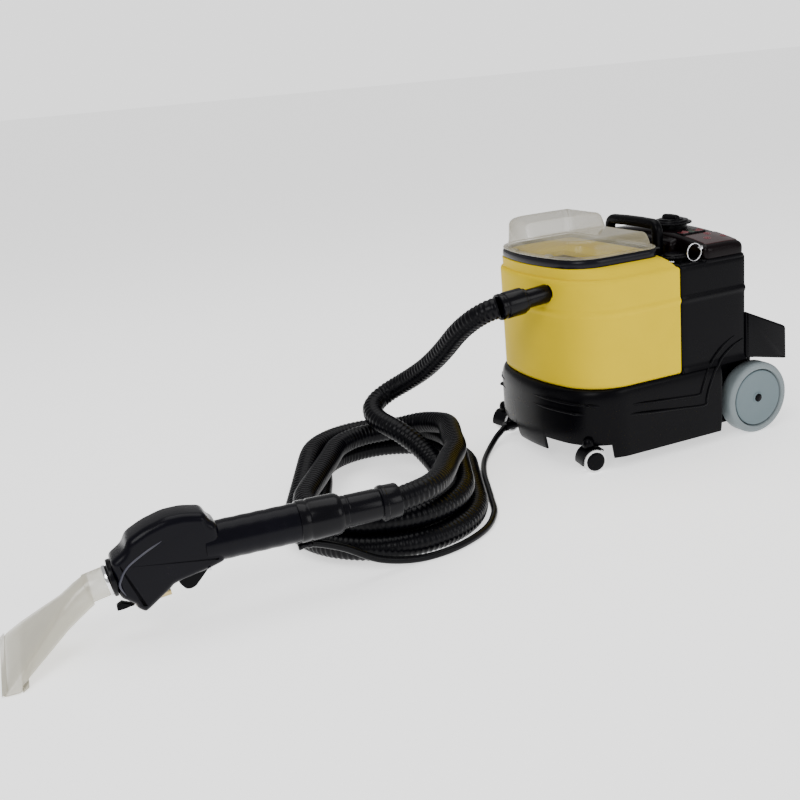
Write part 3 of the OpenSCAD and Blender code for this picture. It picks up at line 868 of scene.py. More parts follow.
@dataclass
class SuctionHose:
    """The ribbed hose: down from the pipe, round the oval coil and over to the hand tool."""

    radius: float = 18.5
    pitch: float = 8.0
    rib: float = 1.5
    centre: tuple[float, float] = (34.0, -540.0)
    side: tuple[float, float] = (0.4063, 0.9137)
    half: float = 90.0
    run: tuple = (
        (57, -317.5, 289), (42, -341, 280), (4, -363, 250), (-36, -377, 210), (-78, -392, 174),
        (-122, -412, 144), (-148, -442, 122), (-136, -478, 106), (-98, -486, 94), (-52, -472, 84),
        (-12, -450, 60), (35, -440, 34),
    )
    lead: tuple = (
        (65, -425, 92), (118, -446, 92), (162, -481, 94), (210, -514, 98), (256, -548, 104),
        (284, -586, 107), (289.8, -631.5, 104.6),
    )
    steps: tuple = (
        (0.6, 106, 18.8), (2.9, 106, 18.8), (4.0, 144, 18.8), (6.1, 144, 18.8), (7.0, 125, 55.0),
        (8.0, 125, 54.0), (10.0, 125, 51.0), (11.0, 88, 53.0), (11.55, 88, 60.0), (11.8, 98, 80.0),
        (12.05, 117, 92.0),
    )

    def oval(self, turn: float, radius: float, height: float) -> tuple[float, float, float]:
        """A point on the coil.

        A turn is four quarters: the near straight, the front half circle, the far straight and
        the back half circle.

        Args:
            turn: quarters since the start of the near straight.
            radius: the strand's half-circle radius.
            height: its centre's height.

        Returns:
            The point, in machine millimetres.
        """
        quarter, rest = int(turn) % 4, turn - int(turn)
        angle = math.pi * rest
        if quarter == 0:
            across, along = radius, -self.half + 2 * self.half * rest
        elif quarter == 1:
            across, along = radius * math.cos(angle), self.half + radius * math.sin(angle)
        elif quarter == 2:
            across, along = -radius, self.half - 2 * self.half * rest
        else:
            across, along = -radius * math.cos(angle), -self.half - radius * math.sin(angle)
        sx, sy = self.side
        return (self.centre[0] + sx * across + sy * along, self.centre[1] + sy * across - sx * along, height)

    def coil(self) -> list:
        """The coil's points, between seven and eight to each quarter turn."""
        when = [s[0] for s in self.steps]
        out = []
        for turn in np.arange(self.steps[0][0], self.steps[-1][0] + 1e-6, 0.13):
            radius, height = (float(np.interp(turn, when, [s[k] for s in self.steps])) for k in (1, 2))
            out.append(self.oval(float(turn), radius, height))
        return out

    def route(self) -> Array:
        """The whole centreline, evenly sampled."""
        rough = smooth_route([*self.run, *self.coil(), *self.lead], 12.0)
        kernel = np.array([1, 3, 5, 3, 1]) / 13
        soft = rough.copy()
        for k in range(3):
            soft[2:-2, k] = np.convolve(rough[:, k], kernel, "valid")
        return even(soft, self.pitch / 4)

    def build(self) -> None:
        """Sweeps the hose; its radius dips once for each rib."""
        route = self.route()
        phase = np.arange(len(route)) % 4
        dip = np.array([0.0, 0.35, 1.0, 0.35])[phase]
        rings = sweep(route, self.radius - self.rib * dip, 18)
        skin = Skin.empty().rings(rings, start="cap", end="cap")
        nodes = ("hose_run", "hose_coil", "hose_lead")
        hose = skin.piece("suction_hose", Finish.HOSE, replaces=nodes, sharp=80)
        path = Place.point(np.vstack([route[::3], route[-1:]]))
        log.info("suction hose is %.3f m long", length_of(path))


@dataclass
class SolutionHose:
    """The thin line from the base's fitting round the coil to the hand tool."""

    radius: float = 5.5
    route_points: tuple = (
        (-90, -236, 26), (-78, -262, 15), (-45, -298, 6.5), (0, -333, 5.7), (51, -362, 5.7),
        (103, -385, 5.7), (153, -407, 5.7), (207, -433, 5.7), (253, -476, 5.7), (281.6, -538.7, 5.7),
        (285, -600, 6), (284, -660, 21), (281, -710, 50.5), (279, -740, 64.5), (278, -757, 70.5),
    )

    def build(self) -> None:
        route = smooth_route(self.route_points, 4.0)
        rings = sweep(route, np.full(len(route), self.radius), 14)
        piece = Skin.empty().rings(rings, start="cap", end="cap").piece(
            "solution_hose", Finish.LINE, replaces=("solution_run",), sharp=60)
        path = Place.point(route)
        log.info("solution hose is %.3f m long", length_of(path))


# ---------------------------------------------------------------- tank and lid


def bead(z: float, middle: float, half: float, depth: float) -> float:
    """How far a rounded bead stands out at a height; its section is a raised cosine.

    Args:
        z: the height.
        middle: height of the bead's middle.
        half: half of its width.
        depth: how far it stands out at its middle.

    Returns:
        Millimetres beyond the wall.
    """
    t = abs(z - middle) / half
    return depth * 0.5 * (1 + math.cos(math.pi * t)) if t < 1 else 0.0


@dataclass
class Tank:
    """Yellow outer tank, its inner ledge, the black rim and the clear lid."""

    plan: Plan
    bottom: float = 139.0
    top: float = 325.0
    tier: float = 341.0
    rim: float = 354.0
    bead_at: float = 266.0
    low_dome: float = 30.0
    high_dome: float = 52.0

    def shell(self) -> None:
        """The yellow wall: a rolled foot, a bead, a rolled top edge and a shoulder up to the lid.

        The shoulder runs straight from the wall's outline to the lid's, with a sine swell on it.
        """
        heights = [*np.linspace(146, 252, 12), *np.linspace(255, 277, 16), *np.linspace(281, 314, 6)]
        profile = [(self.bottom, 14), (self.bottom, 5), (self.bottom + 1, 2.6), (self.bottom + 3.2, 0.8)]
        profile += [(z, -bead(z, self.bead_at, 8.0, 2.0)) for z in heights]
        turn = np.linspace(0, math.pi / 2, 7)
        profile += [(self.top - 8 + 6 * math.sin(a), 5 * (1 - math.cos(a))) for a in turn[1:]]
        wall = self.plan.wall(profile)
        head = self.lid_plan().wall([(self.tier - 1, -2.6), (self.tier, -1.5), (self.tier, 4)])
        foot, climb = wall[-1], head[0] - wall[-1]
        swell = np.array([0, 0, 3.0])
        slope = [foot + climb * t + swell * math.sin(math.pi * t) for t in (0.2, 0.45, 0.7, 0.88)]
        Skin.empty().rings(np.array([*wall, *slope, *head]), start="cap").piece(
            "tank_outer", Finish.YELLOW, replaces=("tank_shell",), sharp=50)

    def lid_plan(self) -> Plan:
        """The lid's own outline, narrower than the tank's."""
        return Plan(self.plan.half - 26, self.plan.front + 5, 60, 358, -43, 24)

    def ledge(self) -> None:
        """The yellow step inside, seen through the lid."""
        steps = [(-2, 5), (8, 6), (9.5, 10), (8, 19), (-1, 24), (-5, 52), (-12, 56)]
        profile = [(self.tier + rise, inset) for rise, inset in steps]
        Skin.empty().rings(self.lid_plan().wall(profile)).piece("tank_ledge", Finish.YELLOW_INSIDE, sharp=40)

    def rim_band(self) -> None:
        """The black band that the lid sits on."""
        z0, z1 = self.tier, self.rim
        profile = [(z0, 8), (z0 - 1, 0.5), (z0 + 0.6, -0.8), (z0 + 4, -1.4), (z1 - 4, -1.2),
                   (z1 - 1.2, -0.2), (z1 + 0.6, 1.6), (z1 + 0.9, 8), (z0, 8)]
        Skin.empty().rings(self.lid_plan().wall(profile)).piece(
            "tank_rim_band", Finish.RIM, replaces=("tank_rim",), sharp=40)

    def dome_height(self, x: Array, y: Array) -> Array:
        """The lid's top: tall on the far side, lower on the near side, a smooth step between.

        The step is the cubic 3t^2 - 2t^3 across 16 mm, and each top is crowned by a few
        millimetres along the lid.

        Args:
            x: places across the machine.
            y: places along it.

        Returns:
            Heights.
        """
        t = np.clip((-x - 2) / 16, 0, 1)
        step = t * t * (3 - 2 * t)
        high = self.rim + self.low_dome + (self.high_dome - self.low_dome) * step
        return high + 4.0 * np.cos((y + 130) / 140) - 4.0

    def lid(self) -> None:
        """The clear lid: a flange, steep walls and two crowned tops."""
        plan = self.lid_plan()
        edge = [(1.6, 10), (1.6, 0.6), (3.2, -0.2), (4.8, 1.0), (4.8, 9)]
        flange = plan.wall([(self.rim + rise, inset) for rise, inset in edge])
        outline = plan.outline()[0]
        walls = [(8, -(self.rim + 4.8)), (9, -(self.rim + 9)), (10.5, -(self.rim + 15))]
        rise = [(12.5, 9), (14.5, 5), (17.5, 2.2), (21, 0.7), (26, 0.1)]
        rows = pillow(outline, [*walls, *rise], self.dome_height, 26)
        skin = Skin.empty().rings(flange).rings(rows)
        skin.piece("lid_dome", Finish.LID, "lid", ("lid_shell",), sharp=30)

    def lid_clips(self) -> None:
        """Small moulded tabs on the lid's flange."""
        skin = Skin.empty()
        for x, y in ((-40, -222), (60, -217)):
            outline = box_plan(x - 9, x + 9, y - 5, y + 5, 3)
            skin.rings(pillow(outline, [(0, 5), (0.2, 2), (1.4, 0.4)], level(self.rim + 8), 3))
        skin.piece("lid_tabs", Finish.LID, "lid", sharp=30)

    def port_gap_shade(self) -> None:
        """A thin black ring round the pipe where it enters the tank: painted shade standing in for the dark
        gap there.
        """
        profile = [(16.2, -7), (18.4, -7), (18.6, -3.4), (18.0, -2.2), (16.4, -1.8), (16.2, -2.4), (16.2, -7)]
        rings = lathe(profile, PORT, PORT_WAY, 56)
        # painted shade: a black ring in place of the shadowed gap round the pipe
        Skin.empty().rings(rings).piece("port_painted_shade", Finish.BLACK, sharp=40)

    def build(self) -> None:
        """Makes the tank, the rim and the lid."""
        self.shell()
        self.ledge()
        self.rim_band()
        self.lid()
        self.lid_clips()
        self.port_gap_shade()
        dress(["tank_insert"], Finish.YELLOW_INSIDE)
        dress(["inlet_elbow"], Finish.INNER)
        dress(["float_ball"], Finish.FLOAT)
        dress(["lid_gasket"], Finish.GASKET)


# ---------------------------------------------------------------- base


@dataclass
class Base:
    """The black lower body: bulging skirt, front notches, character lines and wheel box."""

    plan: Plan
    foot: float = 19.0
    top: float = 139.0
    notch_top: float = 44.0
    notch_from: float = 46.0
    notch_to: float = -170.0

    def bulge(self, z: Array, ahead: Array) -> Array:
        """Inset of the skirt by height.

        It tucks in below and rolls over at the top; both tucks are quarter ellipses, and the
        lower one is deeper at the front.

        Args:
            z: heights.
            ahead: 0 at the sides, 1 at the front.

        Returns:
            Insets, in millimetres.
        """
        low = np.clip((70 - z) / 52, 0, 1)
        high = np.clip((z - 112) / 27, 0, 1)
        tuck = (1 - np.sqrt(1 - 0.96 * low**2)) * (3 + 9 * ahead)
        roll = (1 - np.sqrt(np.maximum(0.0, 1 - high**2))) * (5.5 + 4.5 * ahead)
        return tuck + roll

    def skirt(self) -> None:
        """The outer wall, its inner face and the top deck."""
        points, normals = self.plan.outline()
        ahead = np.clip(-normals[:, 1], 0, 1)
        notch = (np.abs(points[:, 0]) > self.notch_from) & (points[:, 1] < self.notch_to)
        low = np.where(notch, self.notch_top, self.foot)
        rows = []
        for v in np.linspace(0, 1, 40):
            z = low + (self.top - low) * v
            flat = points - self.bulge(z, ahead)[:, None] * normals
            rows.append(np.column_stack([flat, z]))
        inner = []
        for v in (1.0, 0.6, 0.2, 0.0):
            z = low + (self.top - 4 - low) * v
            flat = points - (self.bulge(z, ahead) + 3.2)[:, None] * normals
            inner.append(np.column_stack([flat, z]))
        deck = closing(rows[-1][:, :2], points.mean(0), self.top, (0.9, 0.5, 0.002))
        under = closing(inner[0][:, :2], points.mean(0), self.top - 4, (0.002, 0.5))
        stack = np.array([*under, *inner, *rows, *deck])
        Skin.empty().rings(stack).piece("base_skirt", Finish.BLACK, replaces=("base_shell",), sharp=42)

    def socket_bosses(self) -> None:
        """The round caster sockets in the corners of the skirt."""
        skin = Skin.empty()
        profile = [(4.6, -1), (8.6, -1), (9.6, 0.2), (9.8, 5), (9.0, 9.5), (7.4, 12.6), (5.4, 14.4),
                   (0.05, 15)]
        for side in (1, -1):
            place = (side * CASTER_PIVOT[0], CASTER_PIVOT[1], self.notch_top)
            skin.rings(lathe(profile, place, (0, 0, 1), 40))
        skin.piece("caster_bosses", Finish.BLACK, sharp=40)

    def wheel_box(self) -> None:
        """The narrow box between the rear wheels."""
        outline = dense(box_plan(-130, 130, 52, 155, 10), 30)
        walls = [(3, -19), (0.8, -20), (0, -22), (0, 6), (0, 3), (0.8, 0.6), (3, 0)]
        rows = pillow(outline, walls, level(self.top - 3), 3)
        Skin.empty().rings(rows, start="cap").piece("wheel_box", Finish.BLACK, sharp=40)

    def side_x(self, y: float, z: float) -> float:
        """How far the near side's surface stands from the middle.

        Above the lower body it is the housing's flared foot.

        Args:
            y: place along the machine.
            z: height.

        Returns:
            The surface's x.
        """
        if z > self.top:
            return 162.0 - 3.6 * min(1.0, (z - self.top) / 14)
        reach = self.plan.half - self.plan.corner
        turn_y = self.plan.corner_y()
        out = self.plan.half
        if y <= turn_y:
            out = reach + math.sqrt(self.plan.corner**2 - (y - turn_y) ** 2)
        return out - float(self.bulge(np.array([z]), np.array([0.0]))[0])

    def front_run(self, side: int, start_x: float, join: tuple[float, float]) -> list:
        """The stretch of a character line that wraps round the front corner.

        The heights climb by a straight-line rule from the corner to the front.

        Args:
            side: 1 for the near side, -1 for the far side.
            start_x: where the line begins on the front, from the middle.
            join: where it meets the line along the side, as y and z.

        Returns:
            Points from the front to just before the join.
        """
        outline, normals = self.plan.outline()
        out = []
        for point, normal in zip(outline, normals):
            if point[0] < start_x or point[1] > join[0] - 9:
                continue
            z = join[1] + 0.055 * (join[0] - point[1])
            ahead = float(np.clip(-normal[1], 0, 1))
            depth = float(self.bulge(np.array([z]), np.array([ahead]))[0])
            place = point - normal * depth
            out.append((side * float(place[0]), float(place[1]), z))
        out.sort(key=lambda p: abs(p[0]) + p[1])
        return out

    def character_lines(self) -> None:
        """Two raised lines from the front along each side that climb round the wheel as arcs."""
        lines = (
            ([(-195, 114), (-120, 107), (-40, 100), (2, 96.5), (10, 98)], 131.0, 166.0, 112.0),
            ([(-212, 99), (-130, 91), (-40, 81), (12, 75.5), (22, 78)], 116.5, 170.0, 104.0),
        )
        for side, name in ((1, "near"), (-1, "far")):
            skin = Skin.empty()
            for start, radius, a0, a1 in lines:
                bend = arc((WHEEL_Y, WHEEL_RADIUS), radius, a0, a1, 14)
                points = self.front_run(side, 20.0 if side > 0 else 90.0, start[0])
                points += [(side * self.side_x(y, z), y, z) for y, z in [*start, *bend]]
                route = smooth_route(points, 4.0)
                skin.rings(sweep(route, tapered(len(route), 8, 0.4, 1.9), 10), start="cap", end="cap")
            skin.piece("character_lines_" + name, Finish.BLACK, sharp=60)

    def build(self) -> None:
        """Makes the lower body."""
        self.skirt()
        self.socket_bosses()
        self.wheel_box()
        self.character_lines()
        dress(["base_pan", "solution_fitting"], Finish.BLACK)
        dress(["vacuum_motor", "pump"], Finish.MOTOR)
        dress(["fan_wheel", "axle"], Finish.STEEL)


# ---------------------------------------------------------------- rear housing and top


@dataclass
class Housing:
    """The black rear housing, its crowned cover, the wing above the wheels and the controls."""

    half: float = 158.0
    seam: float = -25.0
    rear: float = 113.0
    deck: float = 325.0
    bead_at: float = 266.0
    edge: float = 349.0
    crown: float = 17.0
    rocker_x: float = 76.0
    cap_place: tuple[float, float] = (18.0, 68.0)
    filler_place: tuple[float, float] = (108.0, 2.0)
    chain_radius: float = 32.0

    def shell(self) -> None:
        """The housing's walls: flared foot, bead, rolled top edge and flat deck.

        The last 40 mm narrow toward the rear by a square law.
        """
        outline = dense(box_plan(-self.half, self.half, self.seam, self.rear, 3.0), 12)
        behind = np.maximum(0.0, (outline[:, 1] - self.rear + 40) / 40)
        outline[:, 0] *= 1 - 0.006 * behind**2
        normals = outward(outline)
        wide = np.abs(normals[:, 0])
        heights = [*np.linspace(140, 156, 7), *np.linspace(165, 252, 8), *np.linspace(255, 277, 16),
                   *np.linspace(283, 312, 4)]
        rows = []
        for z in heights:
            flare = 4.6 * max(0.0, 1 - (z - 140) / 14) ** 2
            out = flare * wide + bead(float(z), self.bead_at, 8.0, 2.0)
            rows.append(np.column_stack([outline + out[:, None] * normals, np.full(len(outline), z)]))
        for a in np.linspace(0, math.pi / 2, 6)[1:]:
            inset = 6 * (1 - math.cos(a))
            z = self.deck - 6 + 6 * math.sin(a)
            rows.append(np.column_stack([outline - inset * normals, np.full(len(outline), z)]))
        last = rows[-1][:, :2]
        rows += closing(last, last.mean(0), self.deck, (0.9, 0.4, 0.002))
        Skin.empty().rings(np.array(rows), start="cap").piece(
            "housing_shell", Finish.BLACK, replaces=("rear_housing",), sharp=42)

    def crown_height(self, x: Array, y: Array) -> Array:
        """The cover's top: a parabola across the machine, easing down to the rear.

        Args:
            x: places across the machine.
            y: places along it.

        Returns:
            Heights.
        """
        fall = 3.0 * np.clip((y - 80) / 33, 0, 1) ** 2
        return self.edge - 1.5 + self.crown * (1 - (x / self.half) ** 2) - fall

    def cover(self) -> None:
        """The crowned top cover with rounded shoulders."""
        outline = dense(box_plan(2 - self.half, self.half - 2, 29, self.rear - 1, 9), 8)
        foot = [(1.2, -325.2), (0.4, -327), (0, -330)]
        shoulder = [(0, 9), (0.8, 5.5), (2.6, 2.6), (5.6, 0.8), (10, 0)]
        rows = pillow(outline, foot + shoulder, self.crown_height, 16)
        Skin.empty().rings(rows, start="cap").piece(
            "cover_top", Finish.COVER, replaces=("top_cover",), sharp=40)

    def cover_line(self) -> None:
        """The shadow line under the cover, and the moulded lip along the deck."""
        outline = dense(box_plan(-self.half + 0.4, self.half - 0.4, 24, self.rear - 0.4, 8), 14)
        walls = [(2, -319), (0, -320), (-0.8, -322.5), (-0.4, -325), (1.2, -326.5), (4, -326.8)]
        rows = pillow(outline, walls, level(self.deck + 1.8), 2)
        Skin.empty().rings(rows, start="cap").piece("cover_lip", Finish.BLACK, sharp=40)

    def front_console(self) -> None:
        """The raised step between the deck and the cover's front."""
        outline = dense(box_plan(-110, 84, 14, 44, 8), 10)
        top = lambda x, y: self.edge + 3 + 8 * (1 - (x / self.half) ** 2) - 0.25 * (44 - y)
        rows = pillow(outline, [(0, 26), (0, 8), (1, 4.5), (3.4, 1.6), (7, 0)], top, 6)
        Skin.empty().rings(rows, start="cap").piece("front_console", Finish.COVER, sharp=40)

    def label(self) -> None:
        """The dark red plate with plain pictograms and no words."""
        outline = dense(box_plan(91, 147, 37, 106, 5), 6)
        lift = lambda x, y: self.crown_height(x, y) + 0.7
        rows = pillow(outline, [(0.2, 1.6), (0, 0.7), (0.5, 0.1), (1.2, 0)], lift, 10)
        Skin.empty().rings(rows, start="cap").piece(
            "plate_face", Finish.PLATE, replaces=("label_plate",), sharp=40)
        marks = Skin.empty()
        for x, y in ((121, 62), (121, 97), (100, 80)):
            for r0, r1 in ((6.2, 5.0), (3.0, 1.6)):
                outer, inner = (arc((x, y), r, 0, 350, 30) for r in (r0, r1))
                section = ((outer, -0.2), (outer, 0.3), (inner, 0.3), (inner, -0.2))
                stack = [np.column_stack([flat, lift(*flat.T) + rise]) for flat, rise in section]
                marks.rings(np.array(stack))
        marks.piece("plate_marks", Finish.MARK, sharp=40)

    def wing(self) -> None:
        """The hollow wing that covers the wheels from behind."""
        side = [(113, 141), (137, 137.2), (202.5, 123), (204.8, 124), (203.2, 181), (199, 184.6),
                (113, 223.5)]
        outline = dense(rounded(side, 4.0, 5), 14)
        Skin.empty().rings(slab(outline, self.half + 2.8, 4.0), start="cap", end="cap").piece(
            "rear_wing", Finish.BLACK, replaces=("rear_fender",), sharp=40)

    def handle(self) -> None:
        """The carrying handle: one rounded bar bent down at both ends."""
        bend, far_x, near_x, top = 13.0, -69.0, 66.0, 382.0
        left = [(x, 0, z) for x, z in arc((far_x + bend, top - bend), bend, 180, 90, 7)]
        right = [(x, 0, z) for x, z in arc((near_x - bend, top - bend), bend, 90, 0, 7)]
        corners = [(far_x, 0, self.deck), (far_x, 0, 350), *left, (-20, 0, top + 1), (20, 0, top + 1), *right,
                   (near_x, 0, 350), (near_x, 0, self.deck)]
        route = even(np.array(corners, float), 4.0)
        rings = sweep(route, np.full(len(route), 9.0), 20, (1.0, 0.93), 2.7)
        Skin.empty().rings(rings, start="cap", end="cap").piece(
            "handle_bar", Finish.BLACK, replaces=("carry_handle",), sharp=50)

    def rocker(self, name: str, y0: float, y1: float, finish: Finish) -> None:
        """One rocker switch: a shallow saddle with a rounded edge.

        Args:
            name: the body and node it stands for.
            y0: front edge.
            y1: rear edge.
            finish: its colour.
        """
        middle = (y0 + y1) / 2
        base = self.edge + self.crown - 4.4
        top = lambda x, y: base + 12.8 * ((y - middle) / (y1 - y0)) ** 2 + 1.8 * (y - middle) / (y1 - y0)
        near, far = self.rocker_x + 8.8, self.rocker_x - 8.8
        outline = dense(box_plan(far, near, y0 + 0.4, y1 - 0.4, 1.4), 2.5)
        rows = pillow(outline, [(0.3, 8), (0, 3), (0.3, 1.0), (1.1, 0.2), (2, 0)], top, 6)
        Skin.empty().rings(rows, start="cap").piece(name + "_rocker", finish, name, (name,), sharp=40)

    def switch_frame(self) -> None:
        """The raised frame round the three rockers."""
        skin = Skin.empty()
        base = self.edge + self.crown - 5.0
        near, far = self.rocker_x + 12, self.rocker_x - 12
        for y0, y1 in ((39, 55), (57.5, 68.5), (71, 87)):
            outer = dense(box_plan(far, near, y0 - 1.2, y1 + 1.2, 2.5), 4)
            normals = outward(outer)
            rows = []
            for inset, height in ((0, -7), (0, 0), (0.6, 1), (2.4, 1.2), (2.9, 0.4), (3.0, -6)):
                rows.append(np.column_stack([outer - inset * normals, np.full(len(outer), base + height)]))
            skin.rings(np.array(rows))
        skin.piece("switch_frames", Finish.BLACK, sharp=35)

    def ribbed_cap(self) -> None:
        """The big round cap: stepped rings with a grip bar across."""
        z0 = self.deck + self.crown + 28
        x0, y0 = self.cap_place
        profile = [(24.9, -9), (24.9, 0), (33, 0), (35.6, 0.8), (36, 2), (35.4, 3.6), (33.5, 4.3),
                   (31.5, 4.0), (30.6, 5.0), (30.0, 7.0), (28.6, 7.7), (26.5, 7.2), (25.6, 7.4),
                   (22.6, 7.6), (22.0, 9.6), (20.6, 10.2), (12, 9.8), (0.05, 10.0)]
        knurl = lambda a, h: np.where((h > 0.5) & (h < 4), 0.55 * np.cos(a * 36), 0.0)
        skin = Skin.empty().rings(lathe(profile, (x0, y0, z0), (0, 0, 1), 144, knurl), start="cap")
        skin.piece("cap_disc", Finish.BLACK, "ribbed_cap", ("ribbed_cap",), sharp=40)
        outline = dense(box_plan(x0 - 21, x0 + 21, y0 - 6, y0 + 6, 5), 4)
        top = lambda x, y: z0 + 17 - 1.2 * ((x - x0) / 21) ** 2
        rows = pillow(outline, [(0, 10), (0.2, 4), (1.4, 1.2), (3.4, 0)], top, 4)
        Skin.empty().rings(rows, start="cap").piece("cap_grip", Finish.BLACK, "ribbed_cap", sharp=40)

    def filler(self) -> None:
        """The filler cap: a lobed skirt under a stepped round top."""
        profile = [(16.9, -4), (16.9, 4), (24.5, 4), (25.6, 5), (25.8, 7), (24.8, 8.2), (22, 8.6),
                   (20.6, 9.0), (20, 10.4), (18.4, 11.2), (9, 11.0), (0.05, 11.0)]
        lobes = lambda a, h: np.where((h > 4.4) & (h < 8), 0.45 * np.cos(a * 28), 0.0)
        rings = lathe(profile, (*self.filler_place, self.deck), (0, 0, 1), 112, lobes)
        Skin.empty().rings(rings, start="cap").piece(
            "filler_cap_top", Finish.BLACK, "filler_cap", ("filler_cap",), sharp=40)

    def chain_and_ring(self) -> None:
        """The bead chain round the filler cap and the split ring on its eyelet."""
        places = arc(self.filler_place, self.chain_radius, 188, 318, 28)
        wire = Skin.empty()
        profile = [(0.05, 0), (1.1, 0.3), (1.75, 1.0), (1.95, 1.8), (1.75, 2.6), (1.1, 3.3), (0.05, 3.6)]
        for x, y in places:
            wire.rings(lathe(profile, (x, y, self.deck + 0.3), (0, 0, 1), 10))
        link = np.column_stack([places, np.full(len(places), self.deck + 2.1)])
        wire.rings(sweep(link, np.full(len(link), 0.5), 6), start="cap", end="cap")
        wire.piece("chain_beads", Finish.STEEL, replaces=("bead_chain",), sharp=60)
        count, radius = 160, 14.6
        turns = np.linspace(0, 4 * math.pi, count)
        ring = np.stack([147.5 + np.linspace(-0.4, 0.4, count), 12 + radius * np.sin(turns),
                         self.deck + 16 + radius * np.cos(turns)], 1)
        Skin.empty().rings(sweep(ring, np.full(count, 0.9), 8), start="cap", end="cap").piece(
            "split_ring_wire", Finish.STEEL, "split_ring", ("split_ring",), sharp=60)

    def rear_screws(self) -> None:
        """Domed screw heads on the housing's back."""
        skin = Skin.empty()
        profile = [(0.1, 1.9), (1.6, 1.9), (1.7, 2.6), (3.6, 2.2), (5, 1.2), (5.2, -1)]
        for x in (-140, 140):
            for z in (160, 300):
                skin.rings(lathe(profile, (x, self.rear - 0.3, z), (0, 1, 0), 28))
        skin.piece("rear_screws", Finish.STEEL, sharp=35)

    def build(self) -> None:
        """Makes the housing and everything on it."""
        self.shell()
        self.cover()
        self.cover_line()
        self.front_console()
        self.label()
        self.wing()
        self.handle()
        self.rocker("switch_a", 40, 54, Finish.SWITCH_RED)
        self.rocker("switch_b", 58.5, 67.5, Finish.SWITCH_GREEN)
        self.rocker("switch_c", 72, 86, Finish.SWITCH_RED)
        self.switch_frame()
        self.ribbed_cap()
        self.filler()
        self.chain_and_ring()
        self.rear_screws()
        dress(["cap_neck", "filler_neck", "power_inlet", "exhaust_grille"], Finish.BLACK)
        dress(["eyelet"], Finish.STEEL)


# ---------------------------------------------------------------- wheels


@dataclass
class Wheel:
    """One rear wheel: a rounded tyre with a groove, a dished disc and a hub cap."""

    side: int
    label: str
    width: float = 30.0
    outer: float = 165.0

    def build(self) -> None:
        """Makes the tyre and the disc."""
        w = self.width
        base = (self.side * (self.outer - w), WHEEL_Y, WHEEL_RADIUS)
        axis = (self.side, 0, 0)
        body = "wheel_" + self.label
        tyre = [(50.6, 0.4), (59, 0.2), (62.4, 1.6), (63.8, 4.6), (64, 9), (64, w - 9), (63.7, w - 4.2),
                (62.3, w - 1.6), (59.6, w - 0.3), (55, w - 0.1), (52.8, w - 0.4), (51.8, w - 1.6),
                (51.4, w - 7), (50.6, w - 8), (50.6, 0.4)]
        Skin.empty().rings(lathe(tyre, base, axis, 120)).piece(
            "tyre_" + self.label + "_tread", Finish.TYRE, body, ("tyre_" + self.label,), sharp=40)
        disc = [(6.05, -2), (9, -2), (9, 4), (49.4, 4), (50.2, 5), (50.2, w - 8), (49.6, w - 7.4),
                (49.5, w - 3.0), (48.7, w - 1.8), (47, w - 1.4), (44, w - 1.7), (20, w - 2.6),
                (10.5, w - 2.4), (9.6, w - 1.2), (7.6, w - 0.6), (7.0, w - 2.4), (0.05, w - 2.6)]
        Skin.empty().rings(lathe(disc, base, axis, 120)).piece(
            "disc_" + self.label + "_face", Finish.DISC, body, ("disc_" + self.label,), sharp=30)
        hub = [(7, w - 2.6), (6.9, w + 0.2), (5.6, w + 0.9), (0.05, w + 1.0)]
        Skin.empty().rings(lathe(hub, base, axis, 48), start="cap").piece(
            "hub_" + self.label, Finish.BLACK, body, sharp=40)


@dataclass
class Caster:
    """One twin-wheel caster: hood, white tyres and black domed discs."""

    side: int
    label: str
    yaw: float = -10.0
    trail: float = 6.0
    radius: float = 20.5

    def build(self) -> None:
        """Makes the hood and the wheels."""
        a = math.radians(self.yaw)
        across = np.array([math.cos(a), math.sin(a), 0])
        along = np.array([-math.sin(a), math.cos(a), 0])
        centre = np.array([*CASTER_PIVOT, 0.0]) + along * self.trail + np.array([0, 0, self.radius])
        flip = np.array([self.side, 1, 1])
        r = self.radius
        tyre = [(3.2, 0), (r - 2.5, 0), (r - 0.6, 0.8), (r, 2.6), (r, 7.4), (r - 0.7, 9.3), (r - 2.6, 10.2),
                (r - 4.2, 10.0), (r - 4.6, 9)]
        cap = [(r - 4.4, 8.8), (r - 4.5, 10.2), (r - 5.6, 11.0), (10, 11.4), (0.05, 11.5)]
        tyres, caps = Skin.empty(), Skin.empty()
        for way in (1, -1):
            base = (centre + across * 5.0 * way) * flip
            axis = across * way * flip
            tyres.rings(lathe(tyre, base, axis, 64))
            caps.rings(lathe(cap, base, axis, 64))
        body = "caster_wheels_" + self.label
        tyres.piece("caster_tyres_" + self.label, Finish.WHITE, body, (body,), sharp=40)
        caps.piece("caster_caps_" + self.label, Finish.BLACK, body, sharp=40)
        dress(["caster_fork_" + self.label], Finish.BLACK)


# ---------------------------------------------------------------- pipe and cuffs


@dataclass
class Outlet:
    """The pipe out of the tank and the hose's cuff on it."""

    bore: float = 13.5
    pipe_radius: float = 16.0

    def build(self) -> None:
        """Turns the pipe and the cuff."""
        bore, r = self.bore, self.pipe_radius
        pipe = [(bore, -14), (r, -14), (r, 44), (r, 91), (bore, 91), (bore, -14)]
        Skin.empty().rings(lathe(pipe, PORT, PORT_WAY, 64)).piece(
            "pipe_tube", Finish.CUFF, replaces=("outlet_pipe",), sharp=40)
        cuff = [(16.1, 40), (18.6, 40), (19.5, 41), (19.5, 45), (21.2, 46), (22.3, 47.4), (22.5, 50),
                (22.5, 78), (22.1, 80), (20.9, 81.2), (20.8, 84), (22.0, 85.2), (22.3, 87), (22.0, 90.6),
                (20.8, 91.8), (16.1, 92), (16.1, 40)]
        Skin.empty().rings(lathe(cuff, PORT, PORT_WAY, 72)).piece(
            "cuff_sleeve", Finish.CUFF, replaces=("hose_cuff",), sharp=30)


# ---------------------------------------------------------------- hand tool


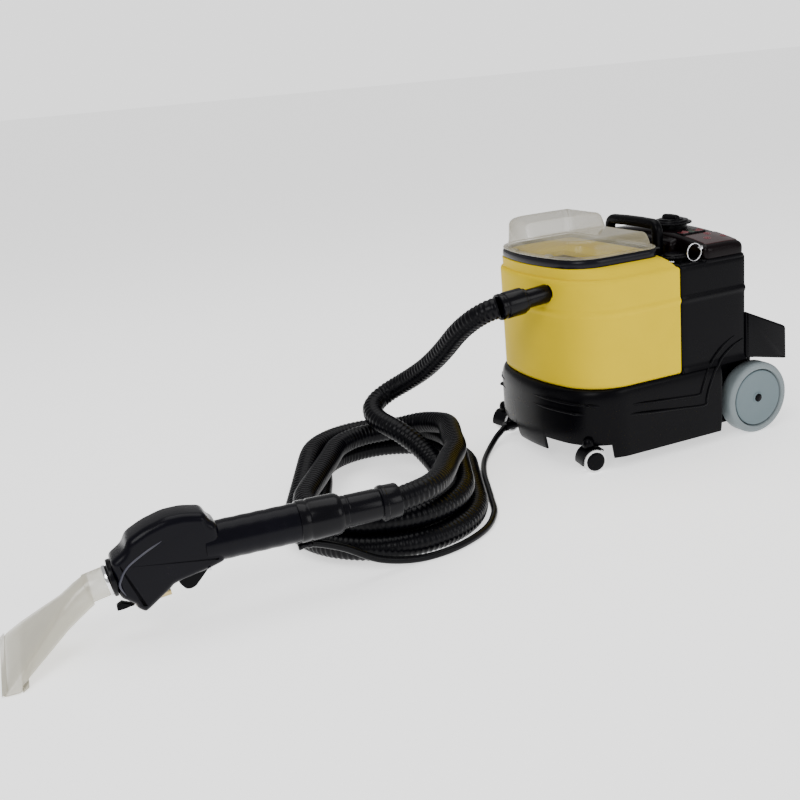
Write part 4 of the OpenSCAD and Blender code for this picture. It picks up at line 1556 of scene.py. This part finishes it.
@dataclass
class HandTool:
    """The hand tool: moulded body and grip, trigger, collar, cuff, chrome ring and clear mouth."""

    knee: tuple[float, float, float] = (0.0, 110.0, 10.0)
    nose_up: float = 5.1
    tail_down: float = 5.9
    grip: float = 27.2
    width: float = 50.0
    mouth: float = 164.0
    wall: float = 2.5

    def tail(self, s: float) -> Array:
        """A point along the grip.

        Args:
            s: millimetres behind the knee.

        Returns:
            The point, along the tool's axes.
        """
        a = math.radians(self.tail_down)
        return np.array(self.knee) + s * np.array([0, math.cos(a), -math.sin(a)])

    def nose(self, s: float) -> Array:
        """A point along the nose.

        Args:
            s: millimetres ahead of the knee.

        Returns:
            The point, along the tool's axes.
        """
        a = math.radians(self.nose_up)
        return np.array(self.knee) + s * np.array([0, -math.cos(a), -math.sin(a)])

    def tail_axis(self) -> Array:
        """The grip's direction, toward the hose."""
        return self.tail(1) - self.tail(0)

    def nose_axis(self) -> Array:
        """The nose's direction, toward the mouth."""
        return self.nose(1) - self.nose(0)

    def body(self) -> None:
        """The moulded body: a rounded slab that follows the tool's side outline."""
        belly = [(8, -21), (24, -36), (25, -43), (33, -51), (38, -50), (72, -31), (78, -26), (128, -21),
                 (150, -17)]
        back = [(150, 36), (142, 44), (138, 56), (112, 64), (88, 66), (60, 61), (36, 52), (28, 39),
                (10, 30), (8, 25)]
        side = belly + back
        outline = dense(rounded(side, 7.0, 5), 9)
        Skin.empty().rings(slab(outline, self.width / 2, 11.0, 6), start="cap", end="cap").piece(
            "gun_shell", Finish.GUN, replaces=("gun_body",), sharp=50, tool=True)

    def handle(self) -> None:
        """The round grip behind the body; a squared cosine gives it shallow waists."""
        start, stop = 18, 152
        s = np.linspace(start, stop, 60)
        route = np.array([self.tail(v) for v in s])
        waist = self.grip - 0.4 * np.cos((s - start) / (stop - start) * 6 * math.pi) ** 2
        rings = sweep(route, waist, 48)
        Skin.empty().rings(rings, start="cap", end="cap").piece("gun_grip", Finish.GUN, sharp=40, tool=True)

    def highlight_lines(self) -> None:
        """The raised moulding line along each side of the body, in a lighter, glossier black that paints a
        highlight along it.
        """
        flat = [(78, 40), (52, 31), (27, 19), (15, 5), (12, -4), (16, -18)]
        skin = Skin.empty()
        for side in (1, -1):
            route = smooth_route([(side * 24.6, y, z) for y, z in flat], 2.5)
            skin.rings(sweep(route, tapered(len(route), 6, 0.3, 1.3), 8), start="cap", end="cap")
        skin.piece("gun_side_lines", Finish.GUN_PAINTED_HIGHLIGHT, sharp=60, tool=True)

    def collars(self) -> None:
        """The collar behind the grip and the stepped cuff that holds the hose."""
        axis = self.tail_axis()
        g = self.grip
        collar = [(16.2, 146), (g, 146), (g + 1.6, 147), (g + 2, 149), (g + 2, 158), (g + 1.2, 159.5),
                  (g + 1.2, 162), (g + 2, 163.5), (g + 2, 198), (g + 1.4, 203), (g - 1, 207), (23.4, 208),
                  (16.2, 208)]
        Skin.empty().rings(lathe(collar, self.tail(0), axis, 72)).piece(
            "gun_collar_sleeve", Finish.CUFF, replaces=("gun_collar",), sharp=30, tool=True)
        cuff = [(16.2, 208), (23, 208), (23, 214), (22.4, 215), (22.4, 217), (23, 218), (23, 258),
                (22.2, 261), (22.2, 263), (25, 264.5), (25.2, 266), (26, 267), (26, 271), (25.2, 272),
                (25, 290), (24, 292), (18.7, 292), (18.7, 285), (16.2, 284), (16.2, 208)]
        Skin.empty().rings(lathe(cuff, self.tail(0), axis, 72)).piece(
            "gun_cuff_sleeve", Finish.CUFF, replaces=("gun_cuff",), sharp=30, tool=True)

    def nose_parts(self) -> None:
        """The nose collar and the chrome ring."""
        front = [(19.1, -5.5), (23.4, -5.5), (24.7, -4.6), (25, -3), (25, 0), (19.1, 0)]
        Skin.empty().rings(lathe(front, (0, 8, 2), (0, 1, 0), 72)).piece(
            "gun_nose_ring", Finish.CUFF, replaces=("gun_nose",), sharp=30, tool=True)
        ring = [(19.05, 108.5), (20, 108.5), (20.6, 109.2), (20.6, 112.2), (20, 113), (19.05, 113),
                (19.05, 108.5)]
        Skin.empty().rings(lathe(ring, self.nose(0), self.nose_axis(), 72)).piece(
            "chrome_band", Finish.CHROME, replaces=("chrome_ring",), sharp=40, tool=True)

    def mouth_section(self, t: float) -> tuple[float, float, float, float, float]:
        """Half width, place along the tool, top and bottom of the mouth piece at a fraction.

        Args:
            t: 0 at the socket, 1 at the slot.

        Returns:
            Half width, y, top z, bottom z and how much further along the bottom lies.
        """
        keys = [0.0, 0.12, 0.28, 0.5, 0.75, 0.93, 1.0]
        w = self.mouth / 2
        half = np.interp(t, keys, [19.6, 21, 28, 46, w - 14, w - 2, w - 0.2])
        y = np.interp(t, keys, [-24, -42, -62, -88, -121, -146, -155])
        top = np.interp(t, keys, [18, 9, -5, -21.5, -43.5, -60.5, -67.8])
        low = np.interp(t, keys, [-25, -33.5, -41.5, -52.5, -60, -64.5, -70.2])
        low_y = np.interp(t, keys, [0, 0, 0, 0, 8, 19, 26])
        return float(half), float(y), float(top), float(low), float(low_y)

    def mouth_piece(self) -> None:
        """The clear mouth: a socket that flattens and fans out to a wide slot, with a lip."""
        socket = [(16.5, 113), (19.2, 113), (19.6, 114), (19.6, 138), (18.9, 139.6), (16.5, 139.6)]
        skin = Skin.empty().rings(lathe(socket, self.nose(0), self.nose_axis(), 64))
        a = np.linspace(0, 2 * np.pi, 72, endpoint=False)
        rows = []
        for shrink in (0.0, self.wall):
            part = []
            for t in np.linspace(0, 1, 34):
                half, y, top, low, low_y = self.mouth_section(float(t))
                power = 2 + 5 * t
                c = np.sign(np.cos(a)) * np.abs(np.cos(a)) ** (2 / power)
                s = np.sign(np.sin(a)) * np.abs(np.sin(a)) ** (2 / power)
                mid, tall = (top + low) / 2, max((top - low) / 2 - shrink, 0.35)
                z = mid + tall * s
                lean = low_y * (1 - (s + 1) / 2)
                part.append(np.stack([(half - shrink) * c, y + lean, z], 1))
            rows.append(part if shrink == 0.0 else part[::-1])
        skin.rings(np.array(rows[0] + rows[1] + rows[0][:1]))
        skin.piece("mouth_fan", Finish.MOUTH, replaces=("mouth_piece",), sharp=35, tool=True)
        lip = Skin.empty()
        w = self.mouth / 2
        for y0, z0, y1, z1 in ((-155, -67.2, -147.5, -62.0), (-131, -70.8, -122, -66.5)):
            corners = [(y0, z0 - 0.4), (y1, z1 - 0.6), (y1 + 0.4, z1 + 1.0), (y0 + 0.2, z0 + 0.8)]
            outline = dense(rounded(corners, 0.6, 3), 4)
            lip.rings(slab(outline, w - 1.2, 0.5, 2), start="cap", end="cap")
        lip.piece("mouth_lips", Finish.MOUTH, sharp=40, tool=True)

    def trigger_blade(self) -> None:
        """The finger trigger under the body."""
        side = [(84, -27), (85, -34), (91, -44), (98, -46), (105, -44), (131, -21.5), (130, -15.5),
                (122, -15.5), (118, -22)]
        outline = dense(rounded(side, 3.0, 4), 5)
        Skin.empty().rings(slab(outline, 8, 2.6, 4), start="cap", end="cap").piece(
            "trigger_blade", Finish.BLACK, "trigger", ("trigger",), sharp=45, tool=True)

    def spray_lever(self) -> None:
        """The jet holder under the nose and the small hose hook under the collar."""
        side = [(1, -37), (0, -44), (9, -44.5), (24, -43.2), (10.2, -35.2), (9, -34)]
        Skin.empty().rings(slab(dense(rounded(side, 1.5, 3), 4), 5, 1.2, 3), start="cap", end="cap").piece(
            "jet_holder", Finish.BLACK, replaces=("spray_jet",), sharp=45, tool=True)
        stub = [(0.1, 0), (4, 0), (4.6, 1), (4.6, 5), (4, 6), (4, 12), (5.6, 13), (5.6, 19), (0.1, 20)]
        Skin.empty().rings(lathe(stub, (0, 249, -41), (0, 1, 0), 40)).piece(
            "nipple_stub", Finish.CUFF, replaces=("spray_nipple",), sharp=35, tool=True)

    def build(self) -> None:
        """Makes the hand tool."""
        self.body()
        self.handle()
        self.highlight_lines()
        self.collars()
        self.nose_parts()
        self.mouth_piece()
        self.trigger_blade()
        self.spray_lever()
        dress(["gun_tube", "grip_tube"], Finish.CUFF)
        dress(["spray_valve"], Finish.BRASS)
        dress(["spray_line", "trigger_pin"], Finish.STEEL)


def main() -> None:
    """Builds the studio, the hoses, the machine and the hand tool."""
    Studio().build()
    SuctionHose().build()
    SolutionHose().build()
    Tank(Plan(158, -231, 88, 365, -25.4, 3)).build()
    Base(Plan(163, -240, 88, 365, 59, 4)).build()
    Housing().build()
    Wheel(1, "near").build()
    Wheel(-1, "far").build()
    Caster(1, "near").build()
    Caster(-1, "far").build()
    Outlet().build()
    HandTool().build()


if __name__ == "__main__":
    main()
